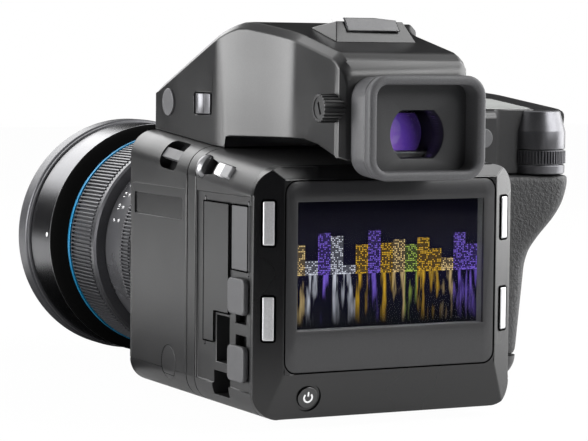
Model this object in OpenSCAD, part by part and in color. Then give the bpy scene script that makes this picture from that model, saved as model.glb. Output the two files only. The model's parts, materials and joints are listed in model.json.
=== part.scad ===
/* [Body] */
// Width of the body and the digital back
body_w = 97; // [90:0.5:110]
// Length of the mirror body from its front face to the mount frame
body_len = 50; // [46:0.5:60]
// Distance of the front face ahead of the tripod socket
front_ahead = 25.5; // [20:0.5:30]
// Height of the top deck at the front face
deck_h = 91; // [88:0.5:98]
// Fall of the top deck towards the rear, in degrees
deck_fall = 4.8; // [3:0.1:6]
// Radius of the top shoulders
shoulder_r = 9.5; // [8:0.5:11]
// Radius of the bottom edges
belly_r = 8.5; // [6:0.5:10]
// Wall of the cast body shell
shell_wall = 4; // [3:0.25:5]
// Height of the lens axis above the base
lens_z = 44; // [42:0.5:48]
// Width of the mirror chamber
chamber_w = 62; // [58:0.5:68]
// Depth of the mirror chamber below the lens axis
chamber_drop = 30; // [27:0.5:31]
// Height of the mirror chamber above the lens axis
chamber_rise = 32; // [30:0.5:33]
// Length of the mount frame between body and back
frame_len = 7.5; // [7:0.25:10]
// Width and depth of the seam grooves beside the mount frame
seam = 0.6; // [0.3:0.1:1]
// Clearance between pieces that move past each other
slip = 0.3; // [0.2:0.05:0.5]
// Running clearance of pivots and turning rings, on the radius
run_fit = 0.05; // [0.02:0.01:0.1]
// Corner radius of the side panel, its field and the small slides
small_r = 1; // [0.5:0.1:1.5]

/* [Mirror and shutter] */
// Width of the reflex mirror
mirror_w = 54; // [48:0.5:56]
// Length of the reflex mirror from its pivot
mirror_len = 46; // [40:0.5:47]
// Thickness of the reflex mirror
mirror_t = 1.6; // [1:0.1:2.5]
// Height of the mirror pivot above the lens axis
pivot_rise = 24; // [20:0.5:26]
// Distance of the mirror pivot behind the body shell
pivot_back = 2.4; // [2:0.1:3]
// Radius of the mirror pivot pins
pivot_r = 1.2; // [0.8:0.1:1.4]
// How far the pivot pins reach into the mount frame
pivot_seat = 3; // [2:0.25:5]
// Width of the focusing screen
screen_w = 58; // [50:0.5:60]
// Length of the focusing screen
screen_len = 40; // [34:0.5:41]
// Thickness of the focusing screen
screen_t = 1.6; // [1:0.1:3]
// Width of the ledge that carries the focusing screen
ledge = 2; // [1.5:0.25:3]
// Width of the shutter cassette
shutter_w = 76; // [72:0.5:78]
// Height of the shutter cassette
shutter_h = 64; // [60:0.5:66]
// Thickness of the shutter cassette
shutter_t = 2.4; // [2:0.1:2.6]
// Width of the picture gate
gate_w = 56; // [54:0.5:58]
// Height of the picture gate
gate_h = 42; // [41:0.5:44]
// Number of curtain slats
slats = 4; // [3:1:6]

/* [Body fittings] */
// Height of the left side panel's lower edge
panel_low = 8.6; // [8:0.1:12]
// Height of the left side panel's upper edge
panel_top = 72.3; // [68:0.1:74]
// Margin of the left side panel to the ends of the body shell
panel_margin = 1; // [0.5:0.1:3]
// Thickness of the left side panel
panel_t = 1.2; // [0.8:0.1:2]
// Length of the bare sunk name field
field_len = 42.5; // [30:0.5:44]
// Height of the bare sunk name field
field_h = 7.8; // [5:0.1:10]
// Depth of the bare sunk name field
field_t = 0.5; // [0.3:0.1:0.6]
// Distance of the name field below the panel's upper edge
field_down = 3.2; // [2:0.1:6]
// Radius of the round side cap
cap_r = 6; // [4:0.1:7]
// Depth of the round side cap
cap_t = 3.5; // [2:0.1:5]
// Height of the side cap's centre
cap_z = 10.9; // [9:0.1:16]
// Distance of the side cap behind the front face
cap_back = 34.8; // [20:0.1:40]
// Length of the strap pocket on the left shoulder
strap_len = 15; // [12:0.5:18]
// Height of the strap pocket along the shoulder
strap_h = 11; // [9:0.5:12]
// Depth of the strap pocket
strap_deep = 5; // [4:0.25:6]
// Distance of the strap pocket's middle behind the front face
strap_back = 34; // [25:0.5:38]
// Corner radius of the strap pocket
strap_r = 2.75; // [1:0.25:4]
// How far the strap bar reaches into the shell at each end
strap_seat = 1.5; // [1:0.1:2.5]
// Height of the strap bar
strap_bar = 3.8; // [3:0.1:5]
// Thickness of the strap bar
strap_t = 2; // [1.5:0.1:2.5]
// Angle of the strap pocket above the horizontal
strap_turn = 34; // [25:1:45]
// Radius of the tripod thread, 3/8 inch
tripod_r = 4.76; // [3.1:0.01:4.9]
// Depth of the tripod thread
tripod_deep = 9; // [6:0.5:10]
// Radius of the tripod bush
bush_r = 8; // [6.5:0.5:10]
// Floor thickness above the tripod thread
bush_floor = 1.5; // [1:0.25:3]
// Radius of a base screw's head
screw_r = 2.4; // [1.5:0.1:3]
// Depth of a base screw
screw_deep = 6; // [4:0.5:8]
// Distance of the base screws from the middle plane
screw_x = 32; // [24:0.5:36]
// Distance of the base screws from the ends of the body shell
screw_in = 7; // [5:0.5:10]
// Length of a base screw's cross
cross_len = 3.8; // [2:0.1:4.4]
// Width of a base screw's cross
cross_w = 0.8; // [0.5:0.1:1]
// Depth of a base screw's cross
cross_deep = 1.2; // [0.5:0.1:2]
// Radius of the lens release button
release_r = 5; // [3:0.25:6]
// Distance of the lens release button from the middle plane
release_x = 39; // [37:0.5:42]
// Distance of the lens release button below the lens axis
release_drop = 29; // [27:0.5:34]
// Travel of the lens release button
release_travel = 1.5; // [0.5:0.1:2]
// How far the lens release button stands out
release_out = 2.5; // [2:0.1:4]

/* [Digital back] */
// Length of the digital back's housing
back_len = 43.5; // [42:0.5:50]
// Wall of the digital back's housing
back_wall = 3; // [2:0.25:4]
// Wall behind the ports on the left side
port_wall = 8.5; // [8:0.25:10]
// Depth of the sunk area around the doors
side_sink = 0.7; // [0.4:0.1:1]
// Thickness of the doors
door_t = 1.8; // [1.4:0.1:2.2]
// How far the doors stand out of the sunk area
door_out = 0.6; // [0.3:0.1:0.7]
// Radius of the doors' pivot pins
door_pin_r = 0.6; // [0.4:0.05:0.7]
// Length of the doors' pivot pins
door_pin = 1.5; // [1:0.1:2]
// Upper edge of both doors
door_top = 69.1; // [66:0.1:70]
// Distance of the card door behind the mount frame
card_back = 5.6; // [4:0.1:7]
// Width of the card door
card_w = 20.3; // [19:0.1:20.8]
// Height of the card door's wide part
card_h = 36.2; // [30:0.1:36.4]
// Width of the card door's lower leg
leg_w = 8.8; // [7:0.1:9]
// Height of the card door's lower leg
leg_h = 10.5; // [8:0.1:12]
// Distance of the port door ahead of the housing's rear end
port_ahead = 2.2; // [1.8:0.1:3]
// Width of the port door
port_w = 13; // [10:0.1:13.2]
// Height of the port door
port_h = 21.1; // [16:0.1:22]
// Width of a sliding tab
tab_w = 12.6; // [10:0.1:12.8]
// Height of a sliding tab
tab_h = 11.8; // [9:0.1:12]
// How far a sliding tab stands out of the sunk area
tab_out = 2.2; // [1.5:0.1:3]
// Corner radius of a sliding tab
tab_r = 2.1; // [1:0.1:3]
// Thickness of the lip that holds a sliding tab
tab_lip = 1.5; // [1:0.1:2]
// Thickness of a sliding tab's foot
tab_foot_t = 1.2; // [0.8:0.1:1.5]
// How much narrower a sliding tab's foot is than the tab, on each side
tab_foot_in = 1; // [0.5:0.1:1.5]
// How much narrower a sliding tab's neck is than the tab, on each side
tab_neck_in = 2.5; // [2:0.1:3.5]
// Travel of a sliding tab
tab_travel = 4; // [2:0.25:4.5]
// Lower edge of the upper tab
upper_tab_low = 33.7; // [33:0.1:34]
// Lower edge of the lower tab
lower_tab_low = 11.6; // [11.5:0.1:12.5]
// Lower edge of the multi-pin socket
socket_low = 16; // [15:0.1:17]
// Height of the multi-pin socket
socket_h = 15.6; // [12:0.1:15.8]
// Width of the multi-pin socket
socket_w = 10.2; // [8:0.1:10.4]
// Lower edge of the cable socket
cable_low = 4.8; // [4.6:0.1:5.5]
// Height of the cable socket
cable_h = 8; // [6:0.1:8.4]
// Width of the cable socket
cable_w = 12.8; // [10:0.1:13]
// Depth of both sockets
socket_deep = 6.5; // [5:0.1:6.8]
// How far the cable socket reaches behind the multi-pin socket
cable_behind = 1; // [0:0.1:1.4]
// Thickness of the multi-pin socket's block
block_t = 1; // [0.8:0.1:1.5]
// Number of contacts in the multi-pin socket
contacts = 6; // [4:1:8]
// Width of a contact
contact_w = 0.8; // [0.5:0.1:1]
// Length of a contact
contact_len = 3.4; // [2:0.1:5]
// Height of a card slot
card_slot_h = 3.5; // [3.3:0.1:5]
// Distance of the lower card slot above the card door's step
card_slot_low = 6; // [3:0.1:8]
// Distance between the card slots
card_slot_rise = 14; // [10:0.5:16]
// Margin of the card slots to the card door's ends
card_slot_in = 3; // [2:0.1:4]
// Width of the slit between the doors
slit_w = 0.8; // [0.5:0.1:1.2]
// Height of the slit between the doors
slit_h = 15; // [10:0.5:18]

/* [Rear face] */
// Depth of the rear bezel
bezel_len = 6.5; // [6:0.1:9]
// Straight side of the rear bezel before its bevel
bezel_side = 1.5; // [1:0.1:2]
// Straight foot and brow of the rear bezel before they slope
bezel_foot = 3.5; // [2:0.1:4]
// Width of the cover glass
glass_w = 78.4; // [74:0.1:80]
// Height of the cover glass
glass_h = 62.2; // [56:0.1:63]
// Height of the cover glass above the base
glass_low = 15.4; // [14:0.1:17]
// Thickness of the cover glass
glass_t = 1.2; // [0.8:0.1:2]
// Corner radius of the cover glass
glass_r = 4; // [2:0.1:6]
// Width of the display's picture
lcd_w = 69.7; // [64:0.1:71]
// Height of the display's picture
lcd_h = 41.8; // [38:0.1:43]
// Height of the picture's lower edge above the base
lcd_low = 29.1; // [26:0.1:30]
// Frame of the display panel around the picture
lcd_rim = 1.5; // [1:0.1:2]
// Thickness of the display panel
lcd_t = 2.2; // [2:0.1:4]
// Depth of the display behind the cover glass
lcd_gap = 2.8; // [0.5:0.1:3]
// Width of a bar key
key_w = 3.9; // [3:0.1:4.5]
// Height of a bar key
key_h = 14.3; // [10:0.1:16]
// Height of the upper keys' middle
key_high = 64.1; // [60:0.1:66]
// Height of the lower keys' middle
key_low = 33.2; // [30:0.1:36]
// Corner radius of a bar key
key_r = 0.6; // [0.3:0.1:1.5]
// Clearance round a bar key and the power button
key_gap = 0.15; // [0.1:0.01:0.2]
// How far a bar key stands out
key_out = 0.6; // [0.5:0.05:1]
// Depth of a bar key below the bevel
key_deep = 1.6; // [1:0.1:1.8]
// Travel of a bar key
key_travel = 0.5; // [0.3:0.05:0.5]
// Radius of the power button
power_r = 3.6; // [2.5:0.1:4.5]
// Distance of the power button left of the middle
power_x = 30; // [20:0.5:34]
// Height of the power button's middle
power_z = 7; // [6:0.1:8]
// How far the power button stands out of the slope
power_out = 0.1; // [0:0.05:0.5]
// Width of the dish round the power button
dish_rim = 1.2; // [0.8:0.1:1.5]
// Depth of the dish round the power button
dish_deep = 0.7; // [0.4:0.1:1]
// Depth of the power button below the slope
power_deep = 2; // [1.5:0.1:2.5]
// Travel of the power button
power_travel = 0.6; // [0.3:0.05:0.8]

/* [Back latch and sensor] */
// Radius of the latch's dome
latch_r = 3.2; // [2:0.1:3.5]
// Radius of the latch's post
latch_post_r = 1.9; // [1.2:0.1:2]
// Travel of the latch
latch_travel = 6; // [4:0.25:7]
// Distance of the latch behind the mount frame
latch_back = 5; // [4.6:0.1:6]
// Depth of the latch's notch below the shoulder
latch_deep = 2.6; // [2:0.1:3]
// Angle of the latch and the lock button above the horizontal
latch_turn = 30; // [20:1:40]
// Least wall between the latch's notch and the mount frame
latch_wall = 1; // [0.8:0.1:1.5]
// Corner radius of the notch's wide end
notch_r = 1; // [0.5:0.1:1.5]
// Length of the lock button
lock_len = 11; // [8:0.1:12]
// Height of the lock button
lock_h = 4.4; // [3:0.1:5]
// Distance of the lock button's middle behind the mount frame
lock_back = 21; // [20:0.1:23]
// Depth of the lock button below the shoulder
lock_deep = 2; // [1.5:0.1:2.5]
// How far the lock button stands out of the shoulder
lock_out = 1; // [0.9:0.1:1.5]
// Travel of the lock button
lock_travel = 0.8; // [0.4:0.1:1]
// Width of the image sensor
sensor_w = 53.4; // [50:0.1:54]
// Height of the image sensor
sensor_h = 40; // [38:0.1:40.5]
// Thickness of the image sensor
sensor_t = 1.2; // [0.8:0.1:2]
// Width of the sensor board
board_w = 70; // [62:0.5:72]
// Height of the sensor board
board_h = 54; // [48:0.5:56]
// Thickness of the sensor board
board_t = 3; // [2:0.1:5]

/* [Prism finder] */
// Width of the prism housing
prism_w = 76.4; // [70:0.2:80]
// Draw-in of each side of the prism housing towards its rear end
draw_in = 14.2; // [12:0.1:16]
// Length of the prism housing
prism_len = 117; // [112:0.5:120]
// How far the prism housing reaches past the front face
prism_over = 1.5; // [1:0.1:3]
// Straight length of the sides before they draw in
prism_straight = 50; // [46:0.5:52]
// Length over which the sides draw in
draw_run = 36; // [30:0.5:40]
// Height of the front edge above the deck
brow_h = 15.4; // [14:0.1:17]
// Height of the ridge above the deck at the front face
ridge_h = 38.8; // [36:0.1:41]
// Distance of the ridge behind the housing's front
ridge_back = 63; // [60:0.5:68]
// Reach of the ridge's rounding to each side
ridge_round = 3.5; // [2:0.1:6]
// Height of the rear top edge above the deck at the front face
tail_h = 27.1; // [26:0.1:30]
// Rounding of the rear top edge
tail_round = 7; // [4:0.1:8]
// Drop of the rear bottom edge below the deck at the front face
tail_drop = 6.6; // [6:0.1:7.2]
// How far the overhang starts ahead of the frame's rear face
notch_ahead = 2; // [1:0.1:4]
// Lift of the overhang above the deck
notch_lift = 4; // [3:0.1:5]
// Length of the overhang's sloping rear end
notch_knee = 21; // [18:0.5:24]
// Radius of the overhang's bend
notch_bend = 30; // [20:1:40]
// Chamfer of the prism housing's top edges
prism_edge = 2.4; // [2:0.1:4]
// Wall of the prism housing
prism_wall = 4; // [3.6:0.1:5]
// Length of the solid tail that holds the eyepiece
tail_block = 11; // [10.5:0.1:14]
// Clearance of the pentaprism to the housing
prism_gap = 3; // [2:0.1:5]
// Radius of the prism release button
disc_r = 4.9; // [3:0.1:5.5]
// Distance of the prism release button behind the housing's front
disc_back = 12.5; // [10:0.1:16]
// Height of the side controls above the deck at the front face
control_h = 10.2; // [9.6:0.1:10.6]
// Depth of the prism release button's bore
disc_deep = 2.6; // [2:0.1:3]
// Travel of the prism release button
disc_travel = 0.8; // [0.4:0.1:1]
// How far the prism release button stands out
disc_out = 0.8; // [0.8:0.1:1.5]
// Length of the sliding lock
slide_len = 12; // [9:0.1:13]
// Height of the sliding lock
slide_h = 7; // [5:0.1:8]
// Depth of the sliding lock's pocket
slide_deep = 2.2; // [1.5:0.1:2.6]
// How far the sliding lock stands out
slide_out = 0.8; // [0.5:0.1:1.5]
// Travel of the sliding lock
slide_travel = 2.6; // [1.5:0.1:4]
// Distance of the sliding lock's middle behind the housing's front
slide_back = 40; // [36:0.5:41]
// Radius of the dioptre knob
knob_r = 4.4; // [3.5:0.1:4.6]
// Length of the dioptre knob
knob_len = 5.5; // [4:0.1:6]
// Distance of the dioptre knob's axis ahead of the tail's end
knob_ahead = 5; // [4.9:0.1:6]
// Radius of the dioptre knob's stub
stub_r = 1.5; // [1:0.1:2]
// Length of the dioptre knob's stub
stub_len = 3; // [2:0.1:5]
// Number of ribs round the dioptre knob
knob_ribs = 20; // [16:1:28]

/* [Eyepiece] */
// Depth of the eyepiece panel behind the tail
eye_deep = 7.5; // [6:0.1:9]
// Width of the eyepiece panel
eye_w = 29; // [26:0.2:30]
// Height of the eyepiece panel
eye_h = 24; // [22:0.2:26]
// Corner radius of the eyepiece panel
eye_r = 4; // [2:0.1:6]
// Width of the light tunnel through the tail
tunnel_w = 20; // [16:0.2:22]
// Corner radius of the light tunnel
tunnel_r = 2; // [1:0.1:3]
// Floor of the light tunnel above the tail's rear bottom edge
tunnel_floor = 3; // [2:0.1:4]
// Height of the eyepiece axis above the tail's rear bottom edge
eye_rise = 8.6; // [8.2:0.1:10]
// Radius of the eyepiece window
window_r = 9.75; // [8:0.05:10.2]
// Height of the flattened eyepiece window
window_h = 15.4; // [12:0.1:16]
// Thickness of the window's rim
window_t = 2.4; // [1.5:0.1:3]
// Clearance round the eyepiece lens
ocular_gap = 0.1; // [0.05:0.01:0.2]
// Thickness of the eyepiece lens
ocular_t = 3.2; // [2:0.1:4.5]
// Depth of the eyecup
cup_len = 15; // [12:0.1:18]
// Width of the eyecup's rim
cup_w = 43.2; // [40:0.2:46]
// Height of the eyecup's rim
cup_h = 33.8; // [31:0.2:35]
// Wall of the eyecup's rim
cup_wall = 3.1; // [2:0.1:4]
// How much narrower the eyecup is at its base, on each side
cup_flare = 1.4; // [0.5:0.1:2]
// How much lower the eyecup is at its base, above and below
cup_flare_h = 0.7; // [0.2:0.1:1.5]
// Corner radius of the eyecup's rim
cup_r = 7; // [5:0.1:9]
// Rise of the eyecup's middle above the eyepiece axis
cup_rise = 2.2; // [1:0.1:3]

/* [Accessory shoe] */
// Width of the shoe's foot
shoe_w = 30.2; // [26:0.2:32]
// Width of the shoe's top
shoe_top_w = 24.4; // [23:0.2:26]
// Distance of the shoe's rear foot ahead of the tail's end
shoe_ahead = 20.5; // [18:0.5:24]
// Length of the shoe's foot
shoe_len = 21; // [18:0.5:22]
// Height of the shoe's rear edge above its foot
shoe_h = 7; // [6.4:0.1:8]
// How far the shoe's rear face leans forward
shoe_lean = 5; // [3:0.1:6]
// Upward tilt of the shoe's top towards the rear, in degrees
shoe_tilt = 7; // [5:0.1:8]
// Width of the shoe's slot
slot_w = 18.7; // [18.6:0.1:19]
// Height of the shoe's slot
slot_h = 2.1; // [2:0.05:2.4]
// Thickness of the shoe's rails
rail_t = 1.3; // [1:0.1:1.5]
// Opening between the rails
rail_gap = 12.6; // [12.2:0.1:13]
// Length of the shoe's slot
slot_len = 12; // [10:0.5:13]
// How far the cover reaches behind the slot
cover_lip = 2; // [1:0.1:3]
// Height of the cover's pad above the rails
pad_h = 0.8; // [0.4:0.1:1.5]

/* [Hand grip] */
// Width of the grip at its foot
grip_w = 36; // [32:0.5:42]
// Outward lean of the grip, in millimetres per millimetre
grip_lean = 0.105; // [0.05:0.005:0.15]
// Swell of the grip under its top housing
grip_swell = 11.5; // [8:0.25:14]
// Height where the swell starts
swell_from = 44; // [38:0.5:48]
// Height where the swell is full
swell_to = 70; // [64:0.5:72]
// Distance of the grip's rear face behind the body shell
grip_rear = 3; // [2:0.1:4]
// Depth of the grip in front of the body at its foot
grip_front = 5; // [3:0.25:8]
// Forward lean of the grip, in millimetres per millimetre
grip_fore = 0.12; // [0.05:0.01:0.16]
// Width of the finger gap beside the body
finger_gap = 13; // [11:0.25:14]
// How far the grip's inner edge stays behind the body's front face
grip_in = 2; // [1:0.1:3]
// Rounding of the grip's rear outer edge
grip_rear_r = 7; // [5:0.25:9]
// Rounding of the grip's front outer edge
grip_nose_r = 16; // [12:0.25:18]
// Rounding of the grip's edge at the finger gap
gap_nose_r = 5; // [3:0.25:6]
// Rounding at the bottom of the finger gap
gap_in_r = 2; // [1:0.25:3]
// Rounding of the grip's foot
foot_r = 7; // [5:0.25:8]
// Height of the battery door
hatch_h = 7.8; // [7:0.1:9]
// Height of the grip's foot above the base plane
foot_z = 0.8; // [0.4:0.1:1.5]
// Height of the seam below the top housing
cap_seam = 75; // [73:0.25:77]
// Height of the top housing at its rear edge
cap_h = 23.6; // [22:0.1:26]
// Forward rise of the top housing's deck, in degrees
cap_tilt = 6; // [4:0.25:8]
// Rounding of the top housing's edge
cap_edge = 3; // [2:0.1:4]
// Width of the grip core
core_w = 29; // [27:0.25:31]
// Distance of the grip core from the ends of the body shell
core_in = 5; // [4:0.25:7]
// Wall of the grip core
core_wall = 3; // [2.5:0.1:4]
// Height of the battery
battery_h = 58; // [50:0.5:60]
// Distance of the battery door's pivot from the body
hatch_axis_in = 2.5; // [2.3:0.1:3]
// Height of the battery door's pivot above the grip's foot
hatch_axis_up = 3.5; // [3:0.1:4]
// Radius of the battery door's pivot
hatch_pin_r = 1; // [0.7:0.05:1.2]
// Length of the battery door's pivot ears
ear_len = 4; // [3:0.1:6]
// Radius of the battery door's pivot ears
ear_r = 2.2; // [1.8:0.1:2.3]

/* [Grip controls] */
// Radius of the dials
dial_r = 9.2; // [8:0.1:10]
// Height of the dials
dial_h = 4.8; // [4:0.1:5.5]
// Radius of the dials' posts
dial_post_r = 1.5; // [1:0.1:2]
// Number of ribs round a dial
dial_ribs = 48; // [36:1:60]
// How far a dial stands out of the housing
dial_out = 0.9; // [0.5:0.1:1.5]
// Height of the dials above the seam
dial_rise = 3.7; // [3:0.1:6]
// How far the rear dial is drawn in from the housing's side
dial_in = 0.2; // [0:0.1:1]
// Distance of the front dial outside the body
front_dial_x = 29; // [27:0.5:33]
// Radius of the rear button
thumb_r = 3.5; // [2.5:0.1:4]
// Distance of the rear button outside the body
thumb_x = 19; // [15:0.5:24]
// Height of the rear button above the seam
thumb_rise = 13.8; // [12:0.1:15]
// Depth of the rear button's bore
thumb_deep = 4; // [3:0.1:5]
// How far the rear button stands out
thumb_out = 0.9; // [0.8:0.1:1.5]
// Travel of the rear button
thumb_travel = 0.8; // [0.4:0.1:1]
// Radius of the shutter button
shutter_button_r = 6; // [5:0.1:7]
// Distance of the shutter button outside the body
shutter_button_x = 29; // [26:0.5:32]
// Distance of the shutter button ahead of the grip's rear face
shutter_button_y = 51; // [47:0.5:53]
// Depth of the shutter button's bore
button_deep = 5; // [4:0.1:6]
// How far the shutter button stands out
button_out = 1.6; // [1.2:0.1:2.5]
// Travel of the shutter button
shutter_travel = 1.2; // [0.5:0.1:1.5]
// Width of the top display
top_w = 34; // [28:0.5:38]
// Length of the top display
top_len = 30; // [24:0.5:34]
// Thickness of the top display
top_t = 1; // [0.6:0.1:1.5]
// How far the top display reaches over the finger gap
top_in = 3; // [0:0.1:4]
// Distance of the top display ahead of the grip's rear face
top_ahead = 7; // [5:0.1:9]
// Corner radius of the top display
top_r = 2; // [1:0.1:3]

/* [Lens] */
// Radius of the lens mount ring
mount_r = 37; // [35:0.25:38]
// Bore of the lens mount
mount_bore_r = 30.5; // [29:0.25:31]
// Thickness of the lens mount ring
mount_t = 3; // [2:0.1:4]
// Length of the bayonet skirt in front of the mount ring
skirt_len = 14.5; // [13:0.25:18]
// Chamfer of the bayonet skirt's rear edge
skirt_edge = 2; // [1:0.1:3]
// Clearance of the bayonet in the mount ring
bayonet_gap = 0.2; // [0.1:0.01:0.3]
// Radius of the bayonet skirt
skirt_r = 39.5; // [38:0.25:41]
// Bore of the barrel
bore_r = 26; // [24:0.25:27]
// Length of the tail behind the mount face
tail_len = 3; // [2:0.1:3.2]
// Radius of the fine ribbed ring
mode_r = 42; // [40.5:0.1:43]
// Length of the fine ribbed ring
mode_len = 9.5; // [8:0.1:12]
// Number of ribs round the fine ribbed ring
mode_ribs = 150; // [120:1:160]
// Radius of the seat under the turning rings
seat_r = 35; // [33:0.25:36]
// Length of the bare name barrel
name_len = 25; // [22:0.25:28]
// Radius of the name barrel at its front
name_r = 37.4; // [36.2:0.1:39]
// Length of the focus ring
focus_len = 25; // [22:0.25:28]
// Radius of the focus ring
focus_r = 42.2; // [41:0.1:43]
// Number of ribs round the focus ring
focus_ribs = 120; // [100:1:130]
// Length of the focus ring's plain ends
focus_lip = 2; // [1:0.1:3]
// Depth of the ribs
rib_deep = 0.7; // [0.4:0.05:0.9]
// Length of the accent ring
accent_len = 1.8; // [1.2:0.1:3]
// Length of the front barrel
front_len = 34; // [30:0.25:38]
// Radius of the front barrel
front_r = 46.2; // [44:0.1:46.6]
// Length of the front barrel's swelling shoulder
flare_len = 10; // [8:0.25:12]
// Length of the groove behind the front ring
lens_seat = 3; // [2:0.1:4]
// Length of the front ring
rim_len = 9.3; // [8:0.1:12]
// Radius of the front ring
rim_r = 47.5; // [47:0.1:49]
// Radius of the filter thread
filter_r = 43; // [41:0.1:44]
// Depth of the filter thread
filter_deep = 6; // [4:0.1:7]
// Bore of the front ring behind the filter thread
rim_bore_r = 40; // [38:0.1:40.8]
// Radius of the front lens
front_glass_r = 37; // [34:0.1:38]
// Thickness of the front lens at its edge
front_glass_t = 8; // [5:0.1:10]
// Crown of the front lens
front_crown = 5; // [2:0.1:6]
// Thickness of the leaf shutter unit
leaf_t = 4; // [3:0.1:6]
// Radius of the leaf shutter's opening
leaf_r = 14; // [8:0.1:18]
// Length of the focus group
group_len = 18; // [12:0.1:20]
// Length of the focus group's narrowed nose
group_nose = 2; // [1:0.1:4]
// Radius of the focus group's narrowed nose
group_nose_r = 13; // [8:0.1:16]
// Clearance of the focus group in the barrel
group_gap = 0.1; // [0.05:0.01:0.2]

/* [Hidden] */
$fn = 72;

// How far a cutter passes the faces it opens, and a length past every outline
over = 1;
far = 300;
// Points on one rounded corner
corner_steps = 6;
// Smallest corner radius left by an inset
least_r = 0.5;
// Shares of a rib's pitch taken by a flank and by the crown
rib_flank = 0.2;
rib_crown = 0.3;
side_x = -body_w / 2;
y_front = front_ahead;
y_body_rear = y_front - body_len;
y_frame_rear = y_body_rear - frame_len;
y_back_rear = y_frame_rear - back_len;
y_glass = y_back_rear - bezel_len;

function deck_z(y) = deck_h + (y - y_front) * tan(deck_fall);
function unit(v) = v / norm(v);
// Points of the arc that rounds corner b between a and c
function corner(a, b, c, r) = r == 0 ? [b] :
    let (u = unit(a - b), v = unit(c - b), half = acos(u * v) / 2, o = b + unit(u + v) * r / sin(half),
        p = b + u * r / tan(half) - o, q = b + v * r / tan(half) - o,
        from = atan2(p[1], p[0]), sweep = (atan2(q[1], q[0]) - from + 540) % 360 - 180)
    [for (i = [0:corner_steps]) let (a = from + sweep * i / corner_steps) o + r * [cos(a), sin(a)]];
function rounded(pts, radii) = let (n = len(pts))
    [for (i = [0:n - 1]) each corner(pts[(i + n - 1) % n], pts[i], pts[(i + 1) % n], radii[i])];
function smooth(t) = let (k = min(max(t, 0), 1)) k * k * (3 - 2 * k);
// Outline of a ribbed wheel
function ribbed(r, deep, ribs) = [for (i = [0:ribs - 1],
        s = [[0, 0], [rib_flank, deep], [rib_flank + rib_crown, deep], [2 * rib_flank + rib_crown, 0]])
    let (a = 360 * (i + s[0]) / ribs) (r - deep + s[1]) * [cos(a), sin(a)]];

// Extrusions of a flat outline: x and z, y and z, or x and y
module along_y(y0, y1) translate([0, y1, 0]) rotate([90, 0, 0]) linear_extrude(y1 - y0) children();
module along_x(x0, x1) translate([x0, 0, 0]) rotate([90, 0, 90]) linear_extrude(x1 - x0) children();
module along_z(z0, z1) translate([0, 0, z0]) linear_extrude(z1 - z0) children();
module box(a, b) translate(a) cube(b - a);
// Rectangle with true round corners, from its lower left to its upper right corner
module round_rect(a, b, r) {
    translate([a[0] + r, a[1]]) square([b[0] - a[0] - 2 * r, b[1] - a[1]]);
    translate([a[0], a[1] + r]) square([b[0] - a[0], b[1] - a[1] - 2 * r]);
    for (x = [a[0] + r, b[0] - r], y = [a[1] + r, b[1] - r]) translate([x, y]) circle(r);
}
module rod_x(x0, x1, y, z, r) translate([x0, y, z]) rotate([0, 90, 0]) cylinder(r = r, h = x1 - x0);
module rod_y(y0, y1, x, z, r) translate([x, y0, z]) rotate([-90, 0, 0]) cylinder(r = r, h = y1 - y0);
module rod_z(z0, z1, x, y, r) translate([x, y, z0]) cylinder(r = r, h = z1 - z0);
// Solid of revolution round the lens axis from points of radius and distance along the axis
module turned(pts) translate([0, 0, lens_z]) rotate([-90, 0, 0]) rotate_extrude() polygon(pts);
// Closed loft through rings of equal numbers of points
module loft(rings) {
    n = len(rings[0]);
    top = (len(rings) - 1) * n;
    sides = [for (i = [0:len(rings) - 2], j = [0:n - 1]) let (k = (j + 1) % n)
        each [[i * n + j, (i + 1) * n + j, (i + 1) * n + k], [i * n + j, (i + 1) * n + k, i * n + k]]];
    caps = [[for (j = [0:n - 1]) j], [for (j = [n - 1:-1:0]) top + j]];
    polyhedron(points = [for (ring = rings) each ring], faces = concat(caps, sides));
}

// Common outer form of body, mount frame and back: round below, sloping deck with round shoulders above
module belly_outline(inset) {
    half = body_w / 2 - inset;
    r = max(belly_r - inset, least_r);
    translate([-half, inset + r]) square([2 * half, far]);
    translate([r - half, inset]) square([2 * (half - r), far]);
    for (s = [-1, 1]) translate([s * (half - r), inset + r]) circle(r);
}
module deck_outline(inset) {
    half = body_w / 2 - inset;
    r = max(shoulder_r - inset, least_r);
    translate([-half, -far]) square([2 * half, far - inset - r]);
    translate([r - half, -far]) square([2 * (half - r), far - inset]);
    for (s = [-1, 1]) translate([s * (half - r), -inset - r]) circle(r);
}
module on_deck() translate([0, y_front, deck_h]) rotate([deck_fall, 0, 0]) children();
module envelope(y0, y1, inset = 0) intersection() {
    along_y(y0, y1) belly_outline(inset);
    on_deck() along_y(-far, far) deck_outline(inset);
}
// Frame on the left shoulder's centre line, with -X pointing outwards
module on_shoulder(y, turn) on_deck()
    translate([side_x + shoulder_r, (y - y_front) / cos(deck_fall), -shoulder_r])
        rotate([0, turn, 0]) children();

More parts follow.
